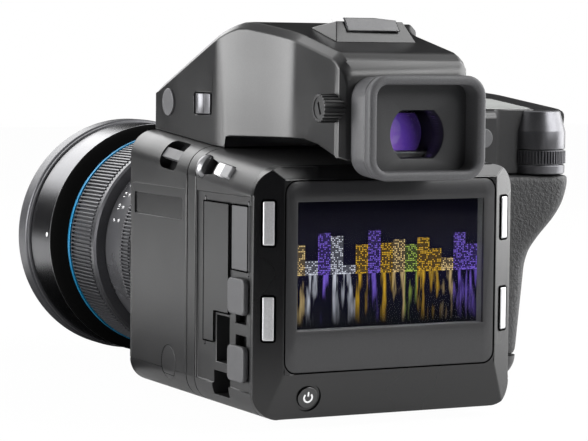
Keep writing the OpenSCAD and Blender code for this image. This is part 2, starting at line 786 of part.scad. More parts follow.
// Mirror body
chamber_low = lens_z - chamber_drop;
chamber_top = lens_z + chamber_rise;
screen_y = y_body_rear + shell_wall;
screen_z = chamber_top + ledge;
bush_h = tripod_deep + bush_floor;
pivot_y = y_body_rear - pivot_back;
pivot_z = lens_z + pivot_rise;
panel_x = side_x + panel_t;
panel_mid_y = (y_body_rear + y_front) / 2;
cap_y = y_front - cap_back;
strap_y = y_front - strap_back;
module chamber(y0, y1) box([-chamber_w / 2, y0, chamber_low], [chamber_w / 2, y1, chamber_top]);
module panel_outline(grow) round_rect([y_body_rear + panel_margin - grow, panel_low - grow],
    [y_front - panel_margin + grow, panel_top + grow], small_r);
module strap_pocket() on_shoulder(strap_y, strap_turn)
    along_x(-shoulder_r - far, strap_deep - shoulder_r)
        round_rect([-strap_len / 2, -strap_h / 2], [strap_len / 2, strap_h / 2], strap_r);
module strap_form(grow) on_shoulder(strap_y, strap_turn)
    box([seam - shoulder_r - grow, -strap_len / 2 - strap_seat - grow, -strap_bar / 2 - grow],
        [seam - shoulder_r + strap_t + grow, strap_len / 2 + strap_seat + grow, strap_bar / 2 + grow]);
module screw_places() for (x = [-screw_x, screw_x], y = [y_body_rear + screw_in, y_front - screw_in])
    translate([x, y, 0]) children();
release_y = y_front - release_travel - slip;
module body_shell() color("#2a2a2c") difference() {
    envelope(y_body_rear, y_front);
    chamber(y_body_rear - over, y_front - shell_wall);
    rod_y(y_front - shell_wall - over, y_front + over, 0, lens_z, mount_bore_r);
    box([ledge - screen_w / 2, screen_y + ledge, chamber_top - over],
        [screen_w / 2 - ledge, screen_y + screen_len - ledge, screen_z + over]);
    box([-screen_w / 2 - slip, screen_y - slip, screen_z],
        [screen_w / 2 + slip, screen_y + screen_len + slip, far]);
    along_x(side_x - over, panel_x) panel_outline(0);
    rod_x(side_x - over, side_x + cap_t, cap_y, cap_z, cap_r + run_fit);
    strap_pocket();
    strap_form(run_fit);
    rod_z(-over, bush_h, 0, 0, bush_r + run_fit);
    screw_places() translate([0, 0, -over]) cylinder(r = screw_r + run_fit, h = screw_deep + over);
    rod_y(release_y - release_out, y_front + over, release_x, lens_z - release_drop, release_r + run_fit);
}
module mount_frame() color("#3a3a3d") difference() {
    union() {
        envelope(y_frame_rear, y_body_rear, seam);
        envelope(y_frame_rear + seam, y_body_rear - seam);
    }
    chamber(y_frame_rear + shutter_t, y_body_rear + over);
    cassette_form(y_frame_rear - over, y_frame_rear + shutter_t);
    rod_x(-chamber_w / 2 - pivot_seat, chamber_w / 2 + pivot_seat, pivot_y, pivot_z, pivot_r + run_fit);
}
module left_panel() color("#262628") difference() {
    along_x(side_x, panel_x) panel_outline(-run_fit);
    along_x(side_x - over, side_x + field_t)
        round_rect([panel_mid_y - field_len / 2, panel_top - field_down - field_h],
            [panel_mid_y + field_len / 2, panel_top - field_down], small_r);
    rod_x(side_x - over, panel_x + over, cap_y, cap_z, cap_r + run_fit);
}
module side_cap() color("#202022") intersection() {
    envelope(y_body_rear, y_front);
    rod_x(side_x - over, side_x + cap_t, cap_y, cap_z, cap_r);
}
module strap_bar() color("#6d6d70") strap_form(0);
module tripod_bush() color("#b9b9bb") difference() {
    rod_z(0, bush_h, 0, 0, bush_r);
    rod_z(-over, tripod_deep, 0, 0, tripod_r);
}
module base_screws() color("#1c1c1d") screw_places() difference() {
    cylinder(r = screw_r, h = screw_deep);
    for (a = [0, 90]) rotate([0, 0, a])
        box([-cross_len / 2, -cross_w / 2, -over], [cross_len / 2, cross_w / 2, cross_deep]);
}
module lens_mount_ring() color("#c4c5c8") turned([[mount_bore_r, y_front], [mount_r, y_front],
    [mount_r, y_front + mount_t], [mount_bore_r, y_front + mount_t]]);
module lens_release_button() color("#1f1f21")
    rod_y(release_y - release_out + release_travel + slip, y_front + release_out, release_x,
        lens_z - release_drop, release_r);
mirror_rest = 45;
module reflex_mirror() color("#cfd6da") translate([0, pivot_y, pivot_z]) rotate([-mirror_rest, 0, 0]) {
    box([-mirror_w / 2, 0, -mirror_t / 2], [mirror_w / 2, mirror_len, mirror_t / 2]);
    rod_x(slip - chamber_w / 2 - pivot_seat, chamber_w / 2 + pivot_seat - slip, 0, 0, pivot_r);
}
module focusing_screen() color("#c9d2d6")
    box([-screen_w / 2, screen_y, screen_z], [screen_w / 2, screen_y + screen_len, screen_z + screen_t]);
module cassette_form(y0, y1) box([-shutter_w / 2, y0, lens_z - shutter_h / 2],
    [shutter_w / 2, y1, lens_z + shutter_h / 2]);
slat_t = 0.5;
module shutter_cassette() color("#3b3b3e") {
    slat_h = gate_h / slats;
    gate_low = lens_z - gate_h / 2;
    difference() {
        cassette_form(y_frame_rear, y_frame_rear + shutter_t);
        box([-gate_w / 2, y_frame_rear - over, gate_low],
            [gate_w / 2, y_frame_rear + shutter_t + over, gate_low + gate_h]);
    }
    for (i = [0:slats - 1]) let (y = y_frame_rear + slat_t * (1 + i % 2), z = gate_low + i * slat_h)
        box([-gate_w / 2 - slat_t, y, z - slat_t], [gate_w / 2 + slat_t, y + slat_t, z + slat_h + slat_t]);
}

// Digital back
sink_x = side_x + side_sink;
door_face = sink_x - door_out;
door_axis_x = door_face + door_t / 2;
door_inner = door_face + door_t;
card_axis = y_frame_rear - card_back - door_t / 2;
card_rear = y_frame_rear - card_back - card_w;
leg_rear = y_frame_rear - card_back - leg_w;
card_step = door_top - card_h;
card_low = card_step - leg_h;
port_rear = y_back_rear + port_ahead;
port_axis = port_rear + door_t / 2;
port_front = port_rear + port_w;
port_low = door_top - port_h;
tab_y = port_rear + port_w / 2;
socket_rear = card_rear;
cable_rear = socket_rear - cable_behind;
foot_w = tab_w - 2 * tab_foot_in;
neck_w = tab_w - 2 * tab_neck_in;
tab_lip_x = sink_x + tab_lip;
module card_outline(g) polygon([[card_axis, card_low - g], [card_axis, door_top + g],
    [card_rear - g, door_top + g], [card_rear - g, card_step - g], [leg_rear - g, card_step - g],
    [leg_rear - g, card_low - g]]);
module port_outline(g) translate([port_axis, port_low - g])
    square([port_front + g - port_axis, port_h + 2 * g]);
module knuckle(y, z0, z1, grow_r, grow_pin) {
    rod_z(z0, z1, door_axis_x, y, door_t / 2 + grow_r);
    rod_z(z0 - door_pin, z1 + door_pin, door_axis_x, y, door_pin_r + grow_pin);
}
// Room for a door's plate and its knuckle
module door_room(y, z0, z1) {
    along_x(sink_x - over, door_inner + slip) children();
    knuckle(y, z0 - slip, z1 + slip, slip, run_fit);
    box([sink_x - over, y - door_t / 2 - slip, z0 - slip], [door_axis_x, y + door_t / 2 + slip, z1 + slip]);
}
module tab_room(z0, z1) {
    low = z0 + tab_foot_in - slip;
    high = z1 - tab_foot_in + slip;
    box([sink_x - over, tab_y - neck_w / 2 - slip, low], [tab_lip_x + slip, tab_y + neck_w / 2 + slip, high]);
    box([tab_lip_x, tab_y - foot_w / 2 - slip, low],
        [tab_lip_x + tab_foot_t + 2 * slip, tab_y + foot_w / 2 + slip, high]);
}
module slide_tab(z0) {
    low = z0 + tab_foot_in;
    high = z0 + tab_h - tab_foot_in;
    foot_x = tab_lip_x + slip;
    along_x(sink_x - tab_out, sink_x - slip / 2)
        round_rect([tab_y - tab_w / 2, z0], [tab_y + tab_w / 2, z0 + tab_h], tab_r);
    box([sink_x - slip, tab_y - neck_w / 2, low], [foot_x + slip, tab_y + neck_w / 2, high]);
    box([foot_x, tab_y - foot_w / 2, low], [foot_x + tab_foot_t, tab_y + foot_w / 2, high]);
}
module card_slots() for (i = [0, 1]) let (z = card_step + card_slot_low + i * card_slot_rise)
    box([sink_x, card_rear + card_slot_in, z],
        [side_x + socket_deep, card_axis - card_slot_in, z + card_slot_h]);
latch_y = y_frame_rear - latch_back;
lock_y = y_frame_rear - lock_back;
latch_front = latch_back - latch_wall;
latch_end = latch_travel + latch_post_r + slip;
latch_half = latch_post_r + slip;
// Notch behind the latch, wide in front and narrow behind
module latch_outline() polygon(rounded(
    [[latch_front, -latch_front], [latch_front, latch_front], [-latch_end, latch_half],
        [-latch_end, -latch_half]], [notch_r, notch_r, least_r, least_r]));
module lock_form(grow, x0, x1) on_shoulder(lock_y, latch_turn) along_x(x0, x1)
    round_rect([-lock_len / 2 - grow, -lock_h / 2 - grow], [lock_len / 2 + grow, lock_h / 2 + grow], small_r);
module back_housing() color("#29292b") difference() {
    envelope(y_back_rear, y_frame_rear);
    intersection() {
        envelope(y_back_rear - over, y_frame_rear - back_wall, back_wall);
        box([side_x + port_wall, -far, 0], [far, far, far]);
    }
    box([-gate_w / 2, y_frame_rear - back_wall - over, lens_z - gate_h / 2],
        [gate_w / 2, y_frame_rear + over, lens_z + gate_h / 2]);
    box([side_x - over, y_back_rear + seam, panel_low], [sink_x, y_frame_rear - seam, panel_top]);
    door_room(card_axis, card_low, door_top) card_outline(slip);
    door_room(port_axis, port_low, door_top) port_outline(slip);
    box([sink_x - over, (card_rear + port_front - slit_w) / 2, door_top - slit_h],
        [door_inner, (card_rear + port_front + slit_w) / 2, door_top]);
    card_slots();
    tab_room(upper_tab_low - tab_travel, upper_tab_low + tab_h);
    tab_room(lower_tab_low, lower_tab_low + tab_h + tab_travel);
    box([side_x - over, socket_rear, socket_low],
        [side_x + socket_deep, socket_rear + socket_w, socket_low + socket_h]);
    box([side_x - over, cable_rear, cable_low],
        [side_x + socket_deep, cable_rear + cable_w, cable_low + cable_h]);
    on_shoulder(latch_y, latch_turn) along_x(-shoulder_r - over, latch_deep - shoulder_r) latch_outline();
    lock_form(slip, -shoulder_r - over - lock_out, lock_deep + lock_travel + slip - shoulder_r);
}
bezel_lip = 0.6;
bevel_run = (body_w - glass_w) / 2 - bezel_lip;
bevel_rise = bezel_len - bezel_side;
bevel_a = atan2(bevel_rise, bevel_run);
foot_rise = bezel_len - bezel_foot;
foot_a = atan2(foot_rise, glass_low - bezel_lip);
glass_top = glass_low + glass_h;
// Right half of the bezel's outline seen from above
bevel_side = [[body_w / 2, y_back_rear + over], [body_w / 2, y_back_rear - bezel_side],
    [glass_w / 2 + bezel_lip, y_glass]];
module bezel_form() intersection() {
    envelope(y_glass, y_back_rear);
    along_z(0, far) polygon(concat(bevel_side, [for (i = [2:-1:0]) [-bevel_side[i][0], bevel_side[i][1]]]));
    along_x(-far, far) polygon([[y_back_rear + over, 0], [y_back_rear - bezel_foot, 0],
        [y_glass, glass_low - bezel_lip], [y_glass, glass_top + bezel_lip],
        [y_back_rear - bezel_foot, deck_z(y_back_rear)], [y_back_rear + over, deck_z(y_back_rear) + over]]);
}
// Frame on the middle of a side bevel, with -Y pointing outwards
module on_bevel(side, z)
    translate([side * (body_w - bevel_run) / 2, y_back_rear - bezel_side - bevel_rise / 2, z])
        rotate([0, 0, side * bevel_a]) children();
module key_form(side, z, grow, y0, y1) on_bevel(side, z) along_y(y0, y1)
    round_rect([-key_w / 2 - grow, -key_h / 2 - grow], [key_w / 2 + grow, key_h / 2 + grow], key_r);
// Frame on the sloping foot of the bezel at the power button, with -Y pointing outwards
module on_foot() translate([-power_x, y_glass + (glass_low - bezel_lip - power_z) * tan(foot_a), power_z])
    rotate([foot_a, 0, 0]) children();
module rear_bezel() color("#2e2e30") difference() {
    bezel_form();
    along_y(y_glass - over, y_glass + glass_t)
        round_rect([-glass_w / 2, glass_low], [glass_w / 2, glass_top], glass_r);
    box([-lcd_w / 2 - lcd_rim - slip, y_glass, lcd_low - lcd_rim - slip],
        [lcd_w / 2 + lcd_rim + slip, y_back_rear + over, lcd_low + lcd_h + lcd_rim + slip]);
    for (s = [-1, 1], z = [key_low, key_high]) key_form(s, z, key_gap, -over, key_deep + key_travel + slip);
    on_foot() {
        rod_y(-over, power_deep + power_travel + slip, 0, 0, power_r + key_gap);
        rod_y(-over, dish_deep, 0, 0, power_r + dish_rim);
    }
}
module cover_glass() color("#1a1b1e") along_y(y_glass, y_glass + glass_t)
    round_rect([run_fit - glass_w / 2, glass_low + run_fit],
        [glass_w / 2 - run_fit, glass_top - run_fit], glass_r);
module display_panel() color("#27305a")
    box([-lcd_w / 2 - lcd_rim, y_glass + glass_t + lcd_gap, lcd_low - lcd_rim],
        [lcd_w / 2 + lcd_rim, y_glass + glass_t + lcd_gap + lcd_t, lcd_low + lcd_h + lcd_rim]);
module bar_key(side, z) color("#c7c8ca") key_form(side, z, 0, -key_out, key_deep);
module key_upper_left() bar_key(-1, key_high);
module key_lower_left() bar_key(-1, key_low);
module key_upper_right() bar_key(1, key_high);
module key_lower_right() bar_key(1, key_low);
module power_button() color("#343437") on_foot() rod_y(-power_out, power_deep, 0, 0, power_r);
module card_door() color("#2c2c2e") {
    along_x(door_face, door_inner) card_outline(0);
    knuckle(card_axis, card_low, door_top, 0, 0);
}
module port_door() color("#2c2c2e") {
    along_x(door_face, door_inner) port_outline(0);
    knuckle(port_axis, port_low, door_top, 0, 0);
}
module upper_tab() color("#303033") slide_tab(upper_tab_low);
module lower_tab() color("#303033") slide_tab(lower_tab_low);
module socket_block() color("#3c3c3f") {
    block_x = side_x + socket_deep - block_t;
    y = socket_rear + socket_w / 2;
    pitch = socket_h / (contacts + 1);
    box([block_x, socket_rear + slip, socket_low + slip],
        [block_x + block_t, socket_rear + socket_w - slip, socket_low + socket_h - slip]);
    for (i = [1:contacts]) let (z = socket_low + i * pitch)
        box([block_x - contact_w, y - contact_len / 2, z - contact_w / 2],
            [block_x + block_t / 2, y + contact_len / 2, z + contact_w / 2]);
}
module back_latch() color("#8b8b8e") on_shoulder(latch_y, latch_turn) {
    rod_x(-shoulder_r - latch_r / 2, latch_deep - slip - shoulder_r, 0, 0, latch_post_r);
    intersection() {
        translate([-shoulder_r, 0, 0]) sphere(latch_r);
        rod_x(-far, -shoulder_r - slip, 0, 0, latch_r);
    }
}
module lock_button() color("#d9d9da") lock_form(0, -shoulder_r - lock_out, lock_deep - shoulder_r);
sensor_y = y_frame_rear - back_wall;
module image_sensor() color("#4c6a5a") box([-sensor_w / 2, sensor_y, lens_z - sensor_h / 2],
    [sensor_w / 2, sensor_y + sensor_t, lens_z + sensor_h / 2]);
module sensor_board() color("#1f5a3a") box([-board_w / 2, sensor_y - board_t, lens_z - board_h / 2],
    [board_w / 2, sensor_y, lens_z + board_h / 2]);

// Prism finder
y_prism = y_front + prism_over;
y_tail = y_prism - prism_len;
brow_z = deck_z(y_prism) + brow_h;
ridge_y = y_prism - ridge_back;
ridge_z = deck_h + ridge_h;
tail_z = deck_h + tail_h;
tail_low = deck_h - tail_drop;
y_notch = y_frame_rear + notch_ahead;
notch_z = deck_z(y_notch) + notch_lift;
tail_w = prism_w - 2 * draw_in;
front_slope = (ridge_z - brow_z) / ridge_back;
roof_slope = (ridge_z - tail_z) / (ridge_y - y_tail);
draw_steps = 12;
tail_steps = 4;
function roof_z(y) = tail_z + (y - y_tail) * roof_slope;
function crown_z(y) = let (past = max(0, ridge_round - abs(y - ridge_y)))
    (y > ridge_y ? ridge_z - (y - ridge_y) * front_slope : roof_z(y))
    - (front_slope + roof_slope) * past * past / (4 * ridge_round);
function draw_y(t) = y_prism - prism_straight - t * draw_run;
function side_at(t) = prism_w / 2 - draw_in * smooth(t);
function side_x(y) = side_at((y_prism - prism_straight - y) / draw_run) - max(0, prism_edge + y_tail - y);
// Cross-section of the housing at y, with the drops of its roof and of its side edges
function prism_ring(y, roof_drop, side_drop) = let (x = side_x(y), z = crown_z(y))
    [for (p = [[-x, 0], [x, 0], [x, z - side_drop], [x - prism_edge, z - roof_drop],
        [prism_edge - x, z - roof_drop], [-x, z - side_drop]]) [p[0], y, p[1]]];
prism_rings = concat(
    [prism_ring(y_prism, prism_edge, prism_edge), prism_ring(y_prism - prism_edge, 0, prism_edge)],
    [for (i = [0:draw_steps]) prism_ring(draw_y(i / draw_steps), 0, prism_edge)],
    [for (i = [0:tail_steps]) let (a = 90 * i / tail_steps, drop = tail_round * (1 - cos(a)))
        prism_ring(y_tail + tail_round * (1 - sin(a)), drop, drop + prism_edge)]);
module prism_plan(inset, steps) {
    right = concat([[prism_w / 2 - inset, y_prism - inset]],
        [for (i = [0:steps]) [side_at(i / steps) - inset, draw_y(i / steps)]],
        [[tail_w / 2 - inset, y_tail + inset]]);
    polygon(concat(right, [for (i = [len(right) - 1:-1:0]) [-right[i][0], right[i][1]]]));
}
module prism_profile(drop) polygon([[y_prism, deck_z(y_prism)], [y_prism, brow_z - drop],
    [ridge_y, ridge_z - drop], [y_tail, tail_z - drop], [y_tail, tail_low], [y_notch, deck_z(y_notch)]]);
module prism_form(inset, drop, steps) intersection() {
    along_z(0, far) prism_plan(inset, steps);
    along_x(-far, far) prism_profile(drop);
}
module prism_underside() along_x(-far, far) polygon([[y_prism + over, -over],
    [y_prism + over, deck_z(y_prism + over)], [y_notch, deck_z(y_notch)], [y_tail, tail_low],
    [y_tail - over, tail_low], [y_tail - over, -over]]);
module prism_notch() along_x(-far, far) polygon(rounded([[y_notch, 0], [y_notch, notch_z],
    [y_tail + notch_knee, notch_z], [y_tail, tail_low], [y_tail - far, tail_low], [y_tail - far, 0]],
    [0, 0, notch_bend, 0, 0, 0]));
floor_z = notch_z + prism_wall;
control_z = deck_h + control_h;
disc_y = y_prism - disc_back;
slide_y = y_prism - slide_back;
knob_y = y_tail + knob_ahead;
knob_x = -tail_w / 2 - knob_len;
eye_z = tail_low + eye_rise;
module slide_outline(grow, back)
    round_rect([slide_y - slide_len / 2 - back - grow, control_z - slide_h / 2 - grow],
        [slide_y + slide_len / 2 + grow, control_z + slide_h / 2 + grow], small_r);
module prism_housing() color("#323235") difference() {
    loft(prism_rings);
    prism_underside();
    prism_notch();
    difference() {
        prism_form(prism_wall, prism_wall, draw_steps);
        box([-far, -far, 0], [far, y_notch + prism_wall, floor_z]);
        box([-far, -far, 0], [far, y_tail + tail_block, far]);
    }
    along_z(0, floor_z + over) translate([0, screen_y + screen_len / 2])
        square([screen_w - 2 * ledge, screen_len - 2 * ledge], center = true);
    along_y(y_tail - over, y_tail + tail_block + over) round_rect([-tunnel_w / 2, tail_low + tunnel_floor],
        [tunnel_w / 2, eye_z + window_h / 2], tunnel_r);
    on_shoe() shoe_slot(slip / 2);
    rod_x(-far, disc_deep - prism_w / 2, disc_y, control_z, disc_r + run_fit);
    along_x(-far, slide_deep - prism_w / 2) slide_outline(slip, slide_travel);
    rod_x(-far, knob_x + knob_len + slip, knob_y, control_z, knob_r + slip / 2);
    rod_x(-far, knob_x + knob_len + stub_len + slip, knob_y, control_z, stub_r + run_fit);
}
module pentaprism() color("#b7c6cc") intersection() {
    prism_form(prism_wall + prism_gap, prism_wall + prism_gap, 1);
    box([-far, y_tail + tail_block + prism_gap, floor_z], [far, far, far]);
}
module prism_button() color("#27272a")
    rod_x(-prism_w / 2 - disc_out, disc_deep - disc_travel - slip - prism_w / 2, disc_y, control_z, disc_r);
module prism_slide() color("#77777b")
    along_x(-prism_w / 2 - slide_out, slide_deep - slip - prism_w / 2) slide_outline(0, 0);
module dioptre_knob() color("#202022") {
    translate([knob_x, knob_y, control_z]) rotate([0, 90, 0]) linear_extrude(knob_len)
        polygon(ribbed(knob_r, rib_deep / 2, knob_ribs));
    rod_x(knob_x + knob_len / 2, knob_x + knob_len + stub_len, knob_y, control_z, stub_r);
}
// Eyepiece
y_eye = y_tail - eye_deep;
y_cup = y_tail - cup_len;
cup_z = eye_z + cup_rise;
module eye_outline(grow) round_rect([-eye_w / 2 - grow, cup_z - eye_h / 2 - grow],
    [eye_w / 2 + grow, cup_z + eye_h / 2 + grow], eye_r);
module eyepiece_panel() color("#2b2b2d") difference() {
    along_y(y_eye, y_tail) eye_outline(0);
    rod_y(y_eye + window_t, y_tail + over, 0, eye_z, window_r + ocular_gap);
    intersection() {
        rod_y(y_eye - over, y_eye + window_t + over, 0, eye_z, window_r);
        box([-far, -far, eye_z - window_h / 2], [far, far, eye_z + window_h / 2]);
    }
}
module eyepiece_lens() color("#5d3f8c")
    rod_y(y_eye + window_t, y_eye + window_t + ocular_t, 0, eye_z, window_r);
slab = 0.5;
module cup_slab(y, half_w, half_h, r) along_y(y, y + slab) polygon(rounded([[-half_w, cup_z - half_h],
    [half_w, cup_z - half_h], [half_w, cup_z + half_h], [-half_w, cup_z + half_h]], [r, r, r, r]));
module eyecup() color("#242426") difference() {
    hull() {
        cup_slab(y_cup, cup_w / 2, cup_h / 2, cup_r);
        cup_slab(y_tail - slab, cup_w / 2 - cup_flare, cup_h / 2 - cup_flare_h, cup_r - cup_flare);
    }
    hull() {
        cup_slab(y_cup - over, cup_w / 2 - cup_wall, cup_h / 2 - cup_wall, cup_r - cup_wall);
        cup_slab(y_eye - slab, eye_w / 2 - slip, eye_h / 2 - slip, eye_r);
    }
    along_y(y_eye - slab, y_tail + over) eye_outline(run_fit);
}
// Accessory shoe
shoe_rear = y_tail + shoe_ahead;
shoe_front = shoe_rear + shoe_len;
shoe_top_z = roof_z(shoe_rear) + shoe_h;
shoe_top_y = shoe_rear + shoe_lean;
shoe_front_z = max(shoe_top_z + (shoe_top_y - shoe_front) * tan(shoe_tilt), roof_z(shoe_front) + slab);
// Frame on the shoe's rear top edge, with Y along the shoe's tilted slot
module on_shoe() translate([0, shoe_top_y, shoe_top_z]) rotate([-shoe_tilt, 0, 0]) children();
module shoe_slot(grow) {
    box([-slot_w / 2 - grow, -far, -rail_t - slot_h - grow],
        [slot_w / 2 + grow, slot_len + grow, -rail_t + grow]);
    box([-rail_gap / 2 - grow, -far, -rail_t - over], [rail_gap / 2 + grow, slot_len + grow, over]);
}
module accessory_shoe() color("#2c2c2e") difference() {
    intersection() {
        along_x(-far, far) polygon([[shoe_rear, roof_z(shoe_rear)], [shoe_top_y, shoe_top_z],
            [shoe_front, shoe_front_z], [shoe_front, roof_z(shoe_front)]]);
        along_y(-far, far) polygon([[-shoe_w / 2, roof_z(shoe_rear)], [-shoe_top_w / 2, shoe_top_z + over],
            [shoe_top_w / 2, shoe_top_z + over], [shoe_w / 2, roof_z(shoe_rear)]]);
    }
    on_shoe() shoe_slot(0);
}
module shoe_cover() color("#38383b") on_shoe() {
    gap = slip / 2;
    box([gap - slot_w / 2, -cover_lip, gap - rail_t - slot_h],
        [slot_w / 2 - gap, slot_len - gap, -rail_t - gap]);
    box([gap - rail_gap / 2, -cover_lip, -rail_t - slot_h / 2],
        [rail_gap / 2 - gap, slot_len - gap, pad_h]);
}

// Hand grip
grip_x = body_w / 2;
grip_y = y_body_rear - grip_rear;
hatch_top = foot_z + hatch_h;
skin_low = hatch_top + slip;
cap_low = cap_seam + slip;
cap_top = cap_seam + cap_h;
function foot_in(z) = foot_r - sqrt(pow(foot_r, 2) - pow(max(foot_z + foot_r - z, 0), 2));
function grip_side(z) = grip_x + grip_w + grip_lean * z - foot_in(z)
    + grip_swell * smooth((z - swell_from) / (swell_to - swell_from));
function grip_nose(z) = y_front + grip_front + grip_fore * min(z, swell_to) - foot_in(z) / 2;
// Outline of the grip at one height: flat at its root, finger gap in front, round outside
function grip_ring(z, inset, rise, root = grip_x) = let (rear = grip_y + inset, side = grip_side(z) - inset,
        nose = grip_nose(z) - inset, gap = grip_x + finger_gap + inset, inner = y_front - grip_in)
    [for (p = rounded([[root, rear], [side, rear], [side, nose], [gap, nose], [gap, inner], [root, inner]],
        [0, grip_rear_r, grip_nose_r, gap_nose_r, gap_in_r, 0])) [p[0], p[1], z + (p[1] - grip_y) * rise]];
core_low = skin_low;
core_x = grip_x + core_w;
core_rear = y_body_rear + core_in;
core_front = y_front - core_in;
hatch_axis_x = grip_x + hatch_axis_in;
hatch_axis_z = foot_z + hatch_axis_up;
module core_block() box([grip_x, core_rear, core_low], [core_x, core_front, cap_seam]);
module battery_room(gap) box([grip_x + core_wall + ear_r + gap, core_rear + core_wall + gap, core_low - over],
    [core_x - core_wall - gap, core_front - core_wall - gap, core_low + battery_h - gap]);
module grip_core() color("#1b1b1c") {
    difference() {
        core_block();
        battery_room(0);
    }
    for (y = [core_rear, core_front - ear_len]) difference() {
        union() {
            rod_y(y, y + ear_len, hatch_axis_x, hatch_axis_z, ear_r);
            box([hatch_axis_x - ear_r, y, hatch_axis_z],
                [hatch_axis_x + ear_r, y + ear_len, core_low + over]);
        }
        rod_y(y - over, y + ear_len + over, hatch_axis_x, hatch_axis_z, hatch_pin_r + run_fit);
    }
}
skin_steps = 12;
// The covering's rings pass both seams and are trimmed there
skin_run = cap_seam - skin_low + 2 * over;
module grip_skin() color("#1f1f21") difference() {
    intersection() {
        loft([for (i = [0:skin_steps]) grip_ring(skin_low - over + skin_run * i / skin_steps, 0, 0)]);
        box([0, -far, skin_low], [far, far, cap_seam]);
    }
    box([0, core_rear, 0], [core_x, core_front, far]);
}
module battery() color("#3f4248") intersection() {
    battery_room(slip);
    box([-far, -far, core_low], [far, far, far]);
}
hatch_steps = 6;
hatch_root = hatch_axis_x + ear_r + slip;
module battery_door() color("#222224") {
    loft([for (i = [0:hatch_steps]) grip_ring(foot_z + hatch_h * i / hatch_steps, 0, 0, hatch_root)]);
    rod_y(core_rear + ear_len + slip, core_front - ear_len - slip, hatch_axis_x, hatch_axis_z, ear_r);
    box([hatch_axis_x, core_rear + ear_len + slip, hatch_axis_z - ear_r],
        [hatch_axis_x + ear_r + over, core_front - ear_len - slip, hatch_axis_z + hatch_pin_r]);
    rod_y(core_rear + slip, core_front - slip, hatch_axis_x, hatch_axis_z, hatch_pin_r);
}
module on_cap() translate([0, grip_y, cap_top]) rotate([cap_tilt, 0, 0]) children();
dial_z = cap_seam + dial_rise;
rear_dial_x = grip_side(dial_z) + dial_out - dial_r - dial_in;
rear_dial_y = grip_y - dial_out + dial_r;
front_dial_cx = grip_x + front_dial_x;
front_dial_y = grip_nose(dial_z) + dial_out - dial_r;
module dial_room(x, y) difference() {
    rod_z(dial_z - slip, dial_z + dial_h + slip, x, y, dial_r + slip);
    rod_z(dial_z - slip - over, dial_z + dial_h + slip + over, x, y, dial_post_r);
}
thumb_cx = grip_x + thumb_x;
thumb_z = cap_seam + thumb_rise;
top_x = grip_x + finger_gap - top_in;
module top_outline(grow) round_rect([top_x - grow, top_ahead - grow],
    [top_x + top_w + grow, top_ahead + top_len + grow], top_r);
cap_steps = 3;
edge_steps = 4;
// Height and inset of each ring of the top housing: straight sides, then the rounded edge
cap_rings = concat(
    [for (i = [0:cap_steps]) [cap_low + (cap_top - cap_edge - cap_low) * i / cap_steps, 0]],
    [for (i = [1:edge_steps]) let (a = 90 * i / edge_steps)
        [cap_top, 0] + cap_edge * [sin(a) - 1, 1 - cos(a)]]);
module grip_top() color("#2d2d2f") difference() {
    loft([for (s = cap_rings) grip_ring(s[0], s[1], tan(cap_tilt) * (s[0] - cap_low) / (cap_top - cap_low))]);
    dial_room(rear_dial_x, rear_dial_y);
    dial_room(front_dial_cx, front_dial_y);
    rod_y(grip_y - over, grip_y + thumb_deep, thumb_cx, thumb_z, thumb_r + run_fit);
    on_cap() {
        along_z(-top_t, over) top_outline(0);
        translate([grip_x + shutter_button_x, shutter_button_y, -button_deep])
            cylinder(r = shutter_button_r + run_fit, h = button_deep + over);
    }
}
module top_display() color("#16171a") on_cap() along_z(-top_t, 0) top_outline(-run_fit);
module shutter_button() color("#9a9a9d") on_cap()
    rod_z(shutter_travel + slip - button_deep, button_out, grip_x + shutter_button_x, shutter_button_y,
        shutter_button_r);
module dial(x, y) translate([x, y, dial_z]) difference() {
    linear_extrude(dial_h) polygon(ribbed(dial_r, rib_deep, dial_ribs));
    rod_z(-over, dial_h + over, 0, 0, dial_post_r + run_fit);
}
module front_dial() color("#1d1d1f") dial(front_dial_cx, front_dial_y);
module rear_dial() color("#1d1d1f") dial(rear_dial_x, rear_dial_y);
module rear_button() color("#3a3a3d")
    rod_y(grip_y - thumb_out, grip_y + thumb_deep - thumb_travel - slip, thumb_cx, thumb_z, thumb_r);

// Lens
y_mount = y_front + mount_t;
y_skirt = y_mount + skirt_len;
y_mode = y_skirt + mode_len;
y_name = y_mode + name_len;
y_focus = y_name + focus_len;
y_accent = y_focus + accent_len;
y_bell = y_accent + front_len;
y_rim = y_bell + rim_len;
bayonet_r = mount_bore_r - bayonet_gap;
module lens_bayonet() color("#9d9ea1") turned([[bore_r, y_front - tail_len], [bayonet_r, y_front - tail_len],
    [bayonet_r, y_mount], [skirt_r - skirt_edge, y_mount], [skirt_r, y_mount + skirt_edge], [skirt_r, y_skirt],
    [bore_r, y_skirt]]);
name_curve = 8;
